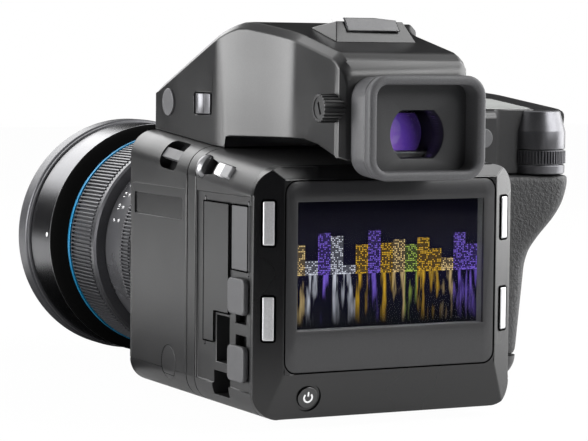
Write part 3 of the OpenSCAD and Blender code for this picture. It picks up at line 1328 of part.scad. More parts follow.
// The name barrel's drawn-in flank, from the ribbed ring to the focus ring
name_flank = [for (i = [0:name_curve]) let (t = i / name_curve)
    [name_r + (mode_r - rib_deep - name_r) * pow(1 - t, 2), y_mode + t * name_len]];
module name_barrel() color("#18181a") turned(concat([[bore_r, y_skirt], [seat_r, y_skirt], [seat_r, y_mode]],
    name_flank, [[seat_r, y_name], [seat_r, y_accent], [bore_r, y_accent]]));
module ribbed_ring(y0, y1, r, ribs) translate([0, y0, lens_z]) rotate([-90, 0, 0]) difference() {
    linear_extrude(y1 - y0) polygon(ribbed(r, rib_deep, ribs));
    rod_z(-over, y1 - y0 + over, 0, 0, seat_r + run_fit);
}
module mode_ring() color("#1b1b1d") ribbed_ring(y_skirt + slip, y_mode - slip, mode_r, mode_ribs);
module focus_ring() color("#1d1d1f") {
    inner_r = seat_r + run_fit;
    groove_r = focus_r - rib_deep;
    y_near = y_name + focus_lip;
    y_far = y_focus - focus_lip;
    ribbed_ring(y_near, y_far, focus_r, focus_ribs);
    turned([[inner_r, y_name + slip], [name_r + focus_lip, y_name + slip], [groove_r, y_near],
        [inner_r, y_near]]);
    turned([[inner_r, y_far], [groove_r, y_far], [groove_r, y_focus - slip], [inner_r, y_focus - slip]]);
}
accent_r = focus_r + slip;
module accent_ring() color("#2a86d8")
    turned([[seat_r, y_focus], [accent_r, y_focus], [accent_r, y_accent], [seat_r, y_accent]]);
flare_curve = 6;
flare_r = focus_r - slip;
y_glass_front = y_bell - lens_seat - front_crown;
module front_barrel() color("#141416") turned(concat(
    [[bore_r, y_accent]],
    [for (i = [0:flare_curve]) let (t = i / flare_curve)
        [flare_r + (front_r - flare_r) * sin(90 * t), y_accent + t * flare_len]],
    [[front_r, y_bell - lens_seat], [front_r - seam * 2, y_bell - lens_seat], [front_r - seam * 2, y_bell],
        [rim_bore_r, y_bell], [front_glass_r, y_glass_front],
        [front_glass_r, y_glass_front - front_glass_t], [bore_r, y_glass_front - front_glass_t]]));
module front_ring() color("#161618") turned([[rim_bore_r, y_bell], [rim_r - seam, y_bell],
    [rim_r, y_bell + seam], [rim_r, y_rim - seam], [rim_r - seam, y_rim], [filter_r, y_rim],
    [filter_r, y_rim - filter_deep], [rim_bore_r, y_rim - filter_deep]]);
crown_steps = 10;
crown_r = front_glass_r - run_fit;
module front_lens() color("#5d6f8f") turned(concat([[0, y_glass_front - front_glass_t],
    [crown_r, y_glass_front - front_glass_t]],
    [for (i = [0:crown_steps]) let (t = 1 - i / crown_steps)
        [crown_r * t, y_glass_front + front_crown * (1 - t * t)]]));
group_r = bore_r - group_gap;
group_y = y_skirt;
group_end = group_y + group_len;
module focus_group() color("#6c7f8f") turned([[0, group_y], [group_r, group_y], [group_r, group_end],
    [group_nose_r, group_end + group_nose], [0, group_end + group_nose]]);
leaf_y = y_focus - leaf_t;
leaf_blades = 10;
module leaf_shutter() color("#2f2f32") translate([0, leaf_y, lens_z]) rotate([-90, 0, 0]) difference() {
    cylinder(r = bore_r - run_fit, h = leaf_t);
    translate([0, 0, -over]) cylinder(r = leaf_r, h = leaf_t + 2 * over, $fn = leaf_blades);
}

body_shell();
mount_frame();
left_panel();
side_cap();
strap_bar();
tripod_bush();
base_screws();
lens_mount_ring();
lens_release_button();
reflex_mirror();
focusing_screen();
shutter_cassette();
back_housing();
rear_bezel();
cover_glass();
display_panel();
key_upper_left();
key_lower_left();
key_upper_right();
key_lower_right();
power_button();
card_door();
port_door();
upper_tab();
lower_tab();
socket_block();
back_latch();
lock_button();
image_sensor();
sensor_board();
prism_housing();
pentaprism();
prism_button();
prism_slide();
dioptre_knob();
eyepiece_panel();
eyepiece_lens();
eyecup();
accessory_shoe();
shoe_cover();
grip_core();
grip_skin();
grip_top();
battery();
battery_door();
top_display();
shutter_button();
front_dial();
rear_dial();
rear_button();
lens_bayonet();
mode_ring();
name_barrel();
focus_ring();
accent_ring();
front_barrel();
front_ring();
front_lens();
focus_group();
leaf_shutter();
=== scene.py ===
import json
import math
import bmesh
import bpy
from mathutils import Matrix, Vector

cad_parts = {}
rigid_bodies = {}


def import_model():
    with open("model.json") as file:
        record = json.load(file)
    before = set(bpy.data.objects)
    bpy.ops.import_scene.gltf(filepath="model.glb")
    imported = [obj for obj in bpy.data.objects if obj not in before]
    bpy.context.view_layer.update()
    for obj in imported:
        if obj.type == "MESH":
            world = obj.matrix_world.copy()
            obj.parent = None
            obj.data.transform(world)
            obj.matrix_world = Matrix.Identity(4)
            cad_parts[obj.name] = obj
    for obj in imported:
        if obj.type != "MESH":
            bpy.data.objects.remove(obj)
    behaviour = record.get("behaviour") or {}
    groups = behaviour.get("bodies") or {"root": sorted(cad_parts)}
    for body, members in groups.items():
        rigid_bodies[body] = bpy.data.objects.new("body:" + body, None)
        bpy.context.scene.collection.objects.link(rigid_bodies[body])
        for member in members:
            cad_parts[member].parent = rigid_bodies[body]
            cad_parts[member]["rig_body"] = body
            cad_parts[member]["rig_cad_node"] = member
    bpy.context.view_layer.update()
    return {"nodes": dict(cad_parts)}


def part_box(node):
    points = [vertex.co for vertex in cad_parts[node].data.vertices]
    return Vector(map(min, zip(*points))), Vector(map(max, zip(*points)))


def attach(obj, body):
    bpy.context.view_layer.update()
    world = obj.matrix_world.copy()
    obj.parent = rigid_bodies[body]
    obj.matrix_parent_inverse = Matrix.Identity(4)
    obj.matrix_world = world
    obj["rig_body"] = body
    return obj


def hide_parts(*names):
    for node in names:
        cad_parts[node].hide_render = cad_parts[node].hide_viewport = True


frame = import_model()
nodes = frame["nodes"]
print("frame loaded:", len(nodes), "nodes")

mm = 0.001
near = 1e-5  # metres: a point this close lies on a plane
joinGap = 2e-6  # metres: points of a CAD solid closer than this are one
facing = 0.9  # cosine from which a face looks along a direction
parallel = 0.99  # cosine from which an edge or a normal runs along a direction
mergeGap = 1e-6  # metres: points of a new piece closer than this are one
cornerTurn = 0.8  # radians between two faces from which an edge of a new piece is a corner
sharpEdge = 28  # degrees between two faces from which a solid's edge is broken
noiseRange = (0.3, 0.7)  # where most values of a noise texture lie


# Colours are written as sRGB hex and handed to the nodes as linear values
def linear(hexColour):
    parts = [int(hexColour[i:i + 2], 16) / 255 for i in (1, 3, 5)]
    return tuple(c / 12.92 if c <= 0.04045 else ((c + 0.055) / 1.055) ** 2.4 for c in parts) + (1.0,)


# Sets the inputs of a node: a socket is linked, anything else is a constant
def setInputs(node, inputs):
    for name, value in inputs.items():
        if isinstance(value, bpy.types.NodeSocket):
            node.id_data.links.new(value, node.inputs[name])
        else:
            node.inputs[name].default_value = value


# Adds one node with its inputs and its own settings; stops are a ramp's places and colours, in rising order
def addNode(tree, kind, inputs=None, stops=(), **settings):
    node = tree.nodes.new("ShaderNode" + kind)
    for name, value in settings.items():
        setattr(node, name, value)
    setInputs(node, inputs or {})
    if stops:
        marks = node.color_ramp.elements
        for mark, (place, colour) in ((marks[0], stops[0]), (marks[1], stops[-1])):
            mark.position, mark.color = place, linear(colour)
        for place, colour in stops[1:-1]:
            marks.new(place).color = linear(colour)
    return node


def newMaterial(name):
    material = bpy.data.materials.new(name)
    material.use_nodes = True
    return material, material.node_tree, material.node_tree.nodes["Principled BSDF"]


def deselectAll():
    bpy.ops.object.select_all(action="DESELECT")


def selectOnly(piece):
    deselectAll()
    piece.select_set(True)
    bpy.context.view_layer.objects.active = piece


def editMode():
    bpy.ops.object.mode_set(mode="EDIT")


def objectMode():
    bpy.ops.object.mode_set(mode="OBJECT")


# Names a new piece and puts its place, turn and size in its mesh
def settle(name):
    bpy.ops.object.transform_apply(location=True, rotation=True, scale=True)
    bpy.context.object.name = name
    return bpy.context.object


# A cube between two corners, in millimetres
def addBlock(low, high):
    bpy.ops.mesh.primitive_cube_add(size=1, location=[(a + b) / 2 * mm for a, b in zip(low, high)],
                                    scale=[(b - a) * mm for a, b in zip(low, high)])


def startBlock(name, low, high):
    deselectAll()
    addBlock(low, high)
    return settle(name)


# Starts a piece from a cylinder, in millimetres
def startDrum(name, sides, radius, depth, middle, turn, ends="NGON"):
    deselectAll()
    bpy.ops.mesh.primitive_cylinder_add(vertices=sides, radius=radius * mm, depth=depth * mm, end_fill_type=ends,
                                        location=[c * mm for c in middle], rotation=turn)
    return settle(name)


# In edit mode, selects the verts, edges or faces that pass a test of place or normal
def pick(kind, test):
    bpy.ops.mesh.select_mode(type={"verts": "VERT", "edges": "EDGE", "faces": "FACE"}[kind])
    bpy.ops.mesh.select_all(action="DESELECT")
    cage = bmesh.from_edit_mesh(bpy.context.object.data)
    for part in getattr(cage, kind):
        part.select_set(bool(test(part)))
    cage.select_flush_mode()
    bmesh.update_edit_mesh(bpy.context.object.data)


def pickAll():
    bpy.ops.mesh.select_all(action="SELECT")


def edgeMiddle(edge):
    return (edge.verts[0].co + edge.verts[1].co) / 2


def runsAlong(edge, axis):
    return abs((edge.verts[1].co - edge.verts[0].co).normalized()[axis]) > parallel


# Edit-mode steps on what is picked, in millimetres
def bevelPicked(width, segments):
    bpy.ops.mesh.bevel(offset=width * mm, segments=segments, affect="EDGES", clamp_overlap=False)


def roundAlong(axis, width, segments):
    pick("edges", lambda e: runsAlong(e, axis))
    bevelPicked(width, segments)


def insetPicked(width):
    bpy.ops.mesh.inset(thickness=width * mm)


def drawOut(step):
    bpy.ops.mesh.extrude_region_move(TRANSFORM_OT_translate={"value": [c * mm for c in step]})


def movePicked(step):
    bpy.ops.transform.translate(value=[c * mm for c in step])


def deletePicked():
    bpy.ops.mesh.delete(type="FACE")


def bridgeOpenEdges():
    pick("edges", lambda e: e.is_boundary)
    bpy.ops.mesh.bridge_edge_loops()


# Cuts the whole mesh along a plane, and where asked clears what lies beyond it
def cutAcross(point, normal, clear=False):
    pickAll()
    bpy.ops.mesh.bisect(plane_co=[c * mm for c in point], plane_no=normal, clear_outer=clear, use_fill=clear)


def facesOutward():
    pickAll()
    bpy.ops.mesh.normals_make_consistent(inside=False)


def addModifier(piece, name, kind, **settings):
    tool = piece.modifiers.new(name, kind)
    for setting, value in settings.items():
        setattr(tool, setting, value)
    return tool


def applyModifier(piece, kind, **settings):
    tool = addModifier(piece, kind.lower(), kind, **settings)
    bpy.context.view_layer.objects.active = piece
    bpy.ops.object.modifier_apply(modifier=tool.name)


# Breaks the edges that are sharper than an angle
def breakEdges(piece, width, angle, clamp=False):
    applyModifier(piece, "BEVEL", width=width * mm, segments=2, limit_method="ANGLE",
                  angle_limit=math.radians(angle), use_clamp_overlap=clamp)


def cutAway(piece, cutter):
    applyModifier(piece, "BOOLEAN", object=cutter, operation="DIFFERENCE", solver="EXACT")
    bpy.data.objects.remove(cutter)
    selectOnly(piece)


def smoothShade(piece, angle=35):
    selectOnly(piece)
    bpy.ops.object.shade_smooth_by_angle(angle=math.radians(angle))


# Sets a flat piece made at the origin on a node's outermost face: its Z goes outward, its Y upward
def setOn(piece, nodeName, outward, upward):
    places = [v.co for v in nodes[nodeName].data.vertices]
    front = max(co.dot(outward) for co in places)
    rim = [co for co in places if co.dot(outward) > front - 2 * near]
    middle = sum(rim, Vector()) / len(rim)
    turn = Matrix((upward.cross(outward), upward, outward)).transposed().to_4x4()
    piece.matrix_world = Matrix.Translation(middle) @ turn
    selectOnly(piece)
    bpy.ops.object.transform_apply(location=True, rotation=True, scale=True)


def placePiece(piece, material, body, slotName, *standsFor):
    piece.data.materials.clear()
    piece.data.materials.append(material)
    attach(piece, body)
    if standsFor:
        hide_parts(*standsFor)


# Grain and broad shade of a coated, moulded or ground surface: grain, cloud and depth in millimetres, rough from
# the least to the most, stretch where the grain runs one way, sockets for the shader's constants
def grainedFinish(name, dark, light, grain, cloud, rough, relief, depth=0.02, stretch=None, sockets=None):
    material, tree, shader = newMaterial(name)
    place = addNode(tree, "TexCoord").outputs["Object"]
    if stretch:
        place = addNode(tree, "Mapping", {"Vector": place, "Scale": stretch}).outputs["Vector"]
    grit = addNode(tree, "TexNoise", {"Vector": place, "Scale": 1 / (grain * mm), "Detail": 3.0,
                                      "Roughness": 0.6}).outputs["Fac"]
    shade = addNode(tree, "TexNoise", {"Vector": place, "Scale": 1 / (cloud * mm), "Detail": 2.0})
    tint = addNode(tree, "ValToRGB", {"Fac": grit}, tuple(zip(noiseRange, (dark, light))))
    dull = addNode(tree, "MapRange", {"Value": shade.outputs["Fac"], "From Min": noiseRange[0],
                                      "From Max": noiseRange[1], "To Min": rough[0], "To Max": rough[1]})
    bump = addNode(tree, "Bump", {"Height": grit, "Strength": relief, "Distance": depth * mm})
    setInputs(shader, {"Base Color": tint.outputs["Color"], "Roughness": dull.outputs["Result"],
                       "Normal": bump.outputs["Normal"], **(sockets or {})})
    return material


# Powder-coated cast aluminium: black, fine orange-peel grit that breaks up the highlights.
# The real grit is about 0.2 mm, drawn coarser so that it shows
powderCoat = grainedFinish("blackPowderCoat", dark="#111112", light="#1c1c1d", grain=0.6, cloud=25,
    rough=(0.29, 0.35), relief=0.3, depth=0.05)
# The removable back and the side covers are sprayed with a smoother satin paint
satinPaint = grainedFinish("satinBlackPaint", dark="#19191a", light="#212122", grain=0.4, cloud=30,
    rough=(0.30, 0.36), relief=0.12, depth=0.03)
# The bezel's satin lacquer is smooth, with a clear soft sheen
bezelLacquer = grainedFinish("satinBezelLacquer", dark="#08080a", light="#0c0c0d", grain=0.3, cloud=40,
    rough=(0.24, 0.29), relief=0.05)
# Moulded black polycarbonate, faintly dull from the tool's spark texture
mouldedBlack = grainedFinish("mouldedBlackPlastic", dark="#19191a", light="#222223", grain=0.5, cloud=15,
    rough=(0.40, 0.50), relief=0.2, depth=0.03)
# Dark grey moulded rubber of the eyecup, matt with a faint bloom
eyecupRubber = grainedFinish("mouldedGreyRubber", dark="#3e3e40", light="#4b4b4d", grain=0.5, cloud=12,
    rough=(0.52, 0.62), relief=0.15, depth=0.03, sockets={"Specular IOR Level": 0.4})
# Grey thermoplastic rubber of the port flaps
flapRubber = grainedFinish("greyFlapRubber", dark="#3c3c3e", light="#48484a", grain=0.4, cloud=9,
    rough=(0.46, 0.54), relief=0.12, depth=0.03)
# Semi-gloss black anodising of the barrel that carries the figures: it shows long grey highlights
nameBlack = grainedFinish("semiGlossBlackAnodising", dark="#58585b", light="#626265", grain=0.4,
    cloud=20, rough=(0.26, 0.32), relief=0.04, sockets={"Metallic": 0.6})
# Pale reflective panel of the small status display
statusPanel = grainedFinish("paleStatusPanel", dark="#c2c4c2", light="#cccecc", grain=0.5, cloud=12,
    rough=(0.2, 0.26), relief=0.02, depth=0.01)
# Gloss black enamel of the power button and the lens's skirt, a deep surface with sharp highlights
glossEnamel = grainedFinish("glossBlackEnamel", dark="#0c0c0d", light="#111112", grain=0.5, cloud=30,
    rough=(0.16, 0.22), relief=0.03, sockets={"Coat Weight": 0.5, "Coat Roughness": 0.08})
# Black anodised aluminium, turned: grey sheen on the crowns of the ribs
blackAnodised = grainedFinish("blackAnodisedAluminium", dark="#4c4c4f", light="#58585b", grain=0.35,
    cloud=12, rough=(0.30, 0.38), relief=0.08, sockets={"Metallic": 0.75})
# Dark grey anodised aluminium of the front ring, bead blasted
greyAnodised = grainedFinish("beadBlastedGreyAluminium", dark="#4a4a4d", light="#545457", grain=0.4,
    cloud=20, rough=(0.34, 0.42), relief=0.1, sockets={"Metallic": 0.6})
# Blue anodised aluminium of the accent ring, a coloured metal sheen
blueAnodised = grainedFinish("blueAnodisedAluminium", dark="#1c7cac", light="#258ab8", grain=0.4, cloud=10,
    rough=(0.28, 0.34), relief=0.06, sockets={"Metallic": 0.6})
# Satin nickel plate of the keys: pale, with a wide soft highlight
satinNickel = grainedFinish("satinNickelPlate", dark="#b4b4b6", light="#c6c6c8", grain=0.4, cloud=8,
    rough=(0.30, 0.38), relief=0.08, sockets={"Metallic": 0.6})
# Turned stainless steel: fine rings of tool marks
turnedSteel = grainedFinish("turnedStainlessSteel", dark="#8d8e91", light="#a3a4a7", grain=0.3, cloud=8,
    rough=(0.24, 0.34), relief=0.1, stretch=(1, 6, 1), sockets={"Metallic": 1.0})
# Mid-grey satin paint of the strap bar and the small round buttons
greyPaint = grainedFinish("greySatinPaint", dark="#4a4a4c", light="#555557", grain=0.35, cloud=6,
    rough=(0.38, 0.46), relief=0.15, depth=0.03)
# White moulded plastic of the focusing screen, even and softly dull
whitePlastic = grainedFinish("whiteMouldedPlastic", dark="#d8d8d9", light="#e4e4e5", grain=0.4, cloud=6,
    rough=(0.32, 0.40), relief=0.06)
# Cover glass printed dark grey on its back: even, with a clear hard surface
printedGlass = grainedFinish("printedCoverGlass", dark="#1c1c1e", light="#202022", grain=0.8, cloud=35,
    rough=(0.30, 0.36), relief=0.02, depth=0.01, sockets={"Coat Weight": 0.1, "Coat Roughness": 0.04})
# Grey walls of the display's well
greyWall = grainedFinish("greyWellPaint", dark="#707072", light="#7c7c7e", grain=0.5, cloud=12,
    rough=(0.45, 0.55), relief=0.05)
# White screen-printing ink: flat, a little rough at its edge
whiteInk = grainedFinish("whitePrintingInk", dark="#e6e6e6", light="#f2f2f2", grain=0.2, cloud=4,
    rough=(0.5, 0.6), relief=0.05, depth=0.01)
# Dark matt plastic of the eyepiece surround
eyepieceMatt = grainedFinish("mattEyepiecePlastic", dark="#1a1a1c", light="#222325", grain=0.5, cloud=10,
    rough=(0.5, 0.6), relief=0.2, depth=0.03)
# Turned brass of the tripod bush, dulled by handling
dullBrass = grainedFinish("dullBrass", dark="#8a7440", light="#a58d55", grain=0.3, cloud=5,
    rough=(0.32, 0.42), relief=0.08, sockets={"Metallic": 1.0})
# Dark nickel of the latch and the bell's bead, polished so that it carries long highlights
darkNickel = grainedFinish("polishedDarkNickel", dark="#7c7c7e", light="#88888a", grain=0.4, cloud=6,
    rough=(0.32, 0.38), relief=0.04, sockets={"Metallic": 1.0})
# Dark satin metal of the grip's turret and the lock slide: soft streaks of light along its turning
turretMetal = grainedFinish("satinDarkMetal", dark="#5c5c5f", light="#666669", grain=0.4, cloud=12,
    rough=(0.30, 0.36), relief=0.06, sockets={"Metallic": 0.85})
# Grey moulded cover of the accessory shoe
coverGrey = grainedFinish("greyMouldedCover", dark="#4c4c4e", light="#565658", grain=0.4, cloud=8,
    rough=(0.34, 0.42), relief=0.1)
# Black that sends no light back: the dark joints round covers and keys, and the painted shadow in the mouth of the
# shoe's slot
jointBlackAndPaintedShadow = grainedFinish("jointBlackAndPaintedShadow", dark="#020202", light="#050505", grain=0.3, cloud=5,
    rough=(0.9, 1.0), relief=0.1, depth=0.03, sockets={"Specular IOR Level": 0.0})

# Bell of the lens: satin black anodised ahead of its rear edge; behind that edge the flare carries painted shade, a
# dead matt black that stands for the shadow on its rear-facing shoulder
bell = {"edge": 114.2, "satin": "#4e4e51", "paintedShade": "#040404", "rough": (0.95, 0.26), "specular": (0.02, 0.6),
        "grain": 0.4, "relief": 0.05, "depth": 0.02}
bellBlackWithPaintedShade, tree, shader = newMaterial("satinBellAnodisingPaintedShade")
place = addNode(tree, "TexCoord").outputs["Object"]
along = addNode(tree, "SeparateXYZ", {0: place}).outputs["Y"]
# behind the rear edge the colour is painted shade: near black, almost without sheen
ahead = addNode(tree, "Math", {0: along, 1: bell["edge"] * mm}, operation="GREATER_THAN").outputs[0]
grain = addNode(tree, "TexNoise", {"Vector": place, "Scale": 1 / (bell["grain"] * mm), "Detail": 3.0}).outputs["Fac"]
tone = addNode(tree, "Mix", {0: ahead, 6: linear(bell["paintedShade"]), 7: linear(bell["satin"])}, data_type="RGBA")
dull = addNode(tree, "MapRange", {"Value": ahead, "To Min": bell["rough"][0], "To Max": bell["rough"][1]})
sheen = addNode(tree, "MapRange", {"Value": ahead, "To Min": bell["specular"][0], "To Max": bell["specular"][1]})
metal = addNode(tree, "MapRange", {"Value": ahead, "To Min": 0.0, "To Max": 1.0})
bump = addNode(tree, "Bump", {"Height": grain, "Strength": bell["relief"], "Distance": bell["depth"] * mm})
setInputs(shader, {"Base Color": tone.outputs[2], "Roughness": dull.outputs["Result"],
                   "Specular IOR Level": sheen.outputs["Result"], "Metallic": metal.outputs["Result"],
                   "Normal": bump.outputs["Normal"]})

# Lock key: white ahead of the split, grey behind it
keyTones = {"split": -52.4, "ahead": "#e2e2e3", "behind": "#7d7d7f", "grain": 0.4}
lockPlastic, tree, shader = newMaterial("whiteGreyKeyPlastic")
place = addNode(tree, "TexCoord").outputs["Object"]
along = addNode(tree, "SeparateXYZ", {0: place}).outputs["Y"]
ahead = addNode(tree, "Math", {0: along, 1: keyTones["split"] * mm}, operation="GREATER_THAN").outputs[0]
grain = addNode(tree, "TexNoise", {"Vector": place, "Scale": 1 / (keyTones["grain"] * mm), "Detail": 3.0})
tone = addNode(tree, "Mix", {0: ahead, 6: linear(keyTones["behind"]), 7: linear(keyTones["ahead"])}, data_type="RGBA")
dull = addNode(tree, "MapRange", {"Value": grain.outputs["Fac"], "To Min": 0.3, "To Max": 0.42})
setInputs(shader, {"Base Color": tone.outputs[2], "Roughness": dull.outputs["Result"]})

# Violet-coated field lens deep in the finder, drawn with painted light: a violet glow, brightest low on its left,
# stands in for the light and the reflection that the lens shows
field = {"bright": (-9.0, -83.0, 89.0), "reach": 17.0}
fieldLensPaintedGlow, tree, shader = newMaterial("violetFieldLensPaintedGlow")
place = addNode(tree, "TexCoord").outputs["Object"]
spread = addNode(tree, "Mapping", {"Vector": place, "Scale": (1 / (field["reach"] * mm),) * 3,
                                   "Location": [-c / field["reach"] for c in field["bright"]]})
fall = addNode(tree, "TexGradient", {"Vector": spread.outputs["Vector"]}, gradient_type="SPHERICAL")
tint = addNode(tree, "ValToRGB", {"Fac": fall.outputs["Fac"]}, (
    (0, "#1d1238"), (0.3, "#4a2f86"), (0.6, "#7450a8"), (0.82, "#b084cc"), (1, "#f4c8ee")))
# painted glow and painted reflection: the emission alone gives the lens its light
setInputs(shader, {"Emission Color": tint.outputs["Color"], "Emission Strength": 0.9,
                   "Base Color": linear("#150b22"), "Roughness": 0.1})

# Clear cover glass, low-reflection coated: faint smears tint it
clearGlass, tree, shader = newMaterial("clearCoverGlass")
place = addNode(tree, "TexCoord").outputs["Object"]
smear = addNode(tree, "TexNoise", {"Vector": place, "Scale": 1 / (18 * mm), "Detail": 3.0})
smearTint = addNode(tree, "ValToRGB", {"Fac": smear.outputs["Fac"]}, ((0, "#f2f4f6"), (1, "#ffffff")))
setInputs(shader, {"Base Color": smearTint.outputs["Color"], "Roughness": 0.0, "Transmission Weight": 1.0,
                   "IOR": 1.08})

# Optical glass of the lens groups, dark inside, with a cool coating that varies from place to place
opticGlass, tree, shader = newMaterial("coatedOpticalGlass")
place = addNode(tree, "TexCoord").outputs["Object"]
coatCloud = addNode(tree, "TexNoise", {"Vector": place, "Scale": 1 / (30 * mm), "Detail": 1.0})
coatTint = addNode(tree, "ValToRGB", {"Fac": coatCloud.outputs["Fac"]}, ((0, "#1a2436"), (1, "#2c2140")))
setInputs(shader, {"Base Color": coatTint.outputs["Color"], "Roughness": 0.03, "Transmission Weight": 0.75,
                   "IOR": 1.55, "Specular Tint": linear("#8ea6e0")})

# Leatherette of the grip: pebbled rubber. Real pebbles are about 0.7 mm, drawn coarser so that they show
pebble = {"size": 1.2, "fine": 0.5, "depth": 0.22, "low": "#0c0c0d", "high": "#1c1c1e"}
leatherette, tree, shader = newMaterial("pebbledGripRubber")
place = addNode(tree, "TexCoord").outputs["Object"]
cells = addNode(tree, "TexVoronoi", {"Vector": place, "Scale": 1 / (pebble["size"] * mm)}, feature="SMOOTH_F1")
fine = addNode(tree, "TexNoise", {"Vector": place, "Scale": 1 / (pebble["fine"] * mm), "Detail": 2.0})
height = addNode(tree, "Math", {0: cells.outputs["Distance"], 1: -1.0, 2: fine.outputs["Fac"]},
                 operation="MULTIPLY_ADD")
# pebble tops are painted lighter and the hollows between them darker: painted highlight and painted shade over the
# pebbled rubber
tint = addNode(tree, "ValToRGB", {"Fac": cells.outputs["Distance"]}, ((0, pebble["high"]), (1, pebble["low"])))
dull = addNode(tree, "MapRange", {"Value": fine.outputs["Fac"], "To Min": 0.42, "To Max": 0.62})
bump = addNode(tree, "Bump", {"Height": height.outputs[0], "Strength": 1.0, "Distance": pebble["depth"] * mm})
setInputs(shader, {"Base Color": tint.outputs["Color"], "Roughness": dull.outputs["Result"],
                   "Normal": bump.outputs["Normal"]})

# The display's picture: a made-up waterfront at night, blocks with lit windows mirrored in dark water
picture = {"left": -34.85, "width": 69.7, "low": 29.1, "height": 41.8, "waterline": 0.42, "blocks": 15.0,
           "roofs": (0.07, 0.36), "columns": 120.0, "rows": 72.0, "unlit": 0.52, "paneHalf": (0.3, 0.28),
           "paneLight": 0.85, "wallLight": 0.07}
nightPicture, tree, shader = newMaterial("litNightPicture")
place = addNode(tree, "TexCoord").outputs["Object"]
flatPlace = addNode(tree, "Mapping", {
    "Vector": place, "Scale": (1 / (picture["width"] * mm), 0, 1 / (picture["height"] * mm)),
    "Location": (-picture["left"] / picture["width"], 0, -picture["low"] / picture["height"])})
split = addNode(tree, "SeparateXYZ", {0: flatPlace.outputs["Vector"]})
# arithmetic: each sum takes numbers, sockets or the names of sums before it
sums = {"across": split.outputs["X"], "up": split.outputs["Z"]}
for name, operation, *terms in (
        ("lift", "SUBTRACT", "up", picture["waterline"]), ("away", "ABSOLUTE", "lift"),
        ("water", "LESS_THAN", "lift", 0.0), ("blockRun", "MULTIPLY", "across", picture["blocks"]),
        ("block", "FLOOR", "blockRun"), ("columnRun", "MULTIPLY", "across", picture["columns"]),
        ("column", "FLOOR", "columnRun"), ("columnPart", "FRACT", "columnRun"),
        ("rowRun", "MULTIPLY", "away", picture["rows"]), ("row", "FLOOR", "rowRun"), ("rowPart", "FRACT", "rowRun")):
    terms = {index: sums.get(term, term) for index, term in enumerate(terms)}
    sums[name] = addNode(tree, "Math", terms, operation=operation).outputs[0]
blockDraw = addNode(tree, "TexWhiteNoise", {"W": sums["block"]}, noise_dimensions="1D")
drawParts = addNode(tree, "SeparateXYZ", {0: blockDraw.outputs["Color"]})
roof = addNode(tree, "MapRange", {"Value": blockDraw.outputs["Value"], "To Min": picture["roofs"][0],
                                  "To Max": picture["roofs"][1]})
cell = addNode(tree, "CombineXYZ", {"X": sums["column"], "Y": sums["row"]})
cellDraw = addNode(tree, "TexWhiteNoise", {"Vector": cell.outputs["Vector"]}, noise_dimensions="2D")
# street lamps along the quay
quay = addNode(tree, "MapRange", {"Value": sums["away"], "From Min": 0.0, "From Max": 0.05, "To Min": 0.9,
                                  "To Max": 0.0})
lampRun = addNode(tree, "TexNoise", {"Vector": flatPlace.outputs["Vector"], "Scale": 45.0, "Detail": 1.0})
lamps = addNode(tree, "MapRange", {"Value": lampRun.outputs["Fac"], "From Min": 0.45, "From Max": 0.7})
# long soft streaks on the water
streakPlace = addNode(tree, "Mapping", {"Vector": flatPlace.outputs["Vector"], "Scale": (38.0, 1.0, 3.0)})
streakRun = addNode(tree, "TexNoise", {"Vector": streakPlace.outputs["Vector"], "Scale": 1.0, "Detail": 2.0})
streak = addNode(tree, "MapRange", {"Value": streakRun.outputs["Fac"], "From Min": 0.48, "From Max": 0.72})
fade = addNode(tree, "MapRange", {"Value": sums["away"], "From Min": 0.02, "From Max": 0.40, "To Min": 0.9,
                                  "To Max": 0.0})
for name, operation, *terms in (
        ("inside", "LESS_THAN", "away", roof.outputs["Result"]),
        ("lit", "GREATER_THAN", cellDraw.outputs["Value"], picture["unlit"]),
        ("paneAcross", "COMPARE", "columnPart", 0.5, picture["paneHalf"][0]),
        ("paneUp", "COMPARE", "rowPart", 0.5, picture["paneHalf"][1]), ("pane", "MULTIPLY", "paneAcross", "paneUp"),
        ("litPane", "MULTIPLY", "pane", "lit"),
        ("wall", "MULTIPLY_ADD", "litPane", picture["paneLight"], picture["wallLight"]),
        ("facade", "MULTIPLY", "wall", "inside"),
        ("street", "MULTIPLY", quay.outputs["Result"], lamps.outputs["Result"]),
        ("shine", "MULTIPLY", streak.outputs["Result"], fade.outputs["Result"]),
        ("shore", "MAXIMUM", "facade", "street")):
    terms = {index: sums.get(term, term) for index, term in enumerate(terms)}
    sums[name] = addNode(tree, "Math", terms, operation=operation).outputs[0]
light = addNode(tree, "Mix", {0: sums["water"], 2: sums["shore"], 3: sums["shine"]}, data_type="FLOAT").outputs[0]
blockTint = addNode(tree, "ValToRGB", {"Fac": drawParts.outputs["Y"]}, (
    (0, "#ffdf9a"), (0.24, "#f2c02e"), (0.42, "#8d6ff0"), (0.60, "#eef2ff"), (0.78, "#b6d45a"), (0.90, "#6f7fe8")))
blockTint.color_ramp.interpolation = "CONSTANT"
sky = addNode(tree, "ValToRGB", {"Fac": sums["up"]}, ((0, "#06070c"), (0.45, "#141324"), (1, "#040409")))
shown = addNode(tree, "Mix", {0: light, 6: sky.outputs["Color"], 7: blockTint.outputs["Color"]}, data_type="RGBA")
setInputs(shader, {"Emission Color": shown.outputs[2], "Emission Strength": 1.0, "Base Color": linear("#000000"),
                   "Specular IOR Level": 0.0})
print("finishes made")

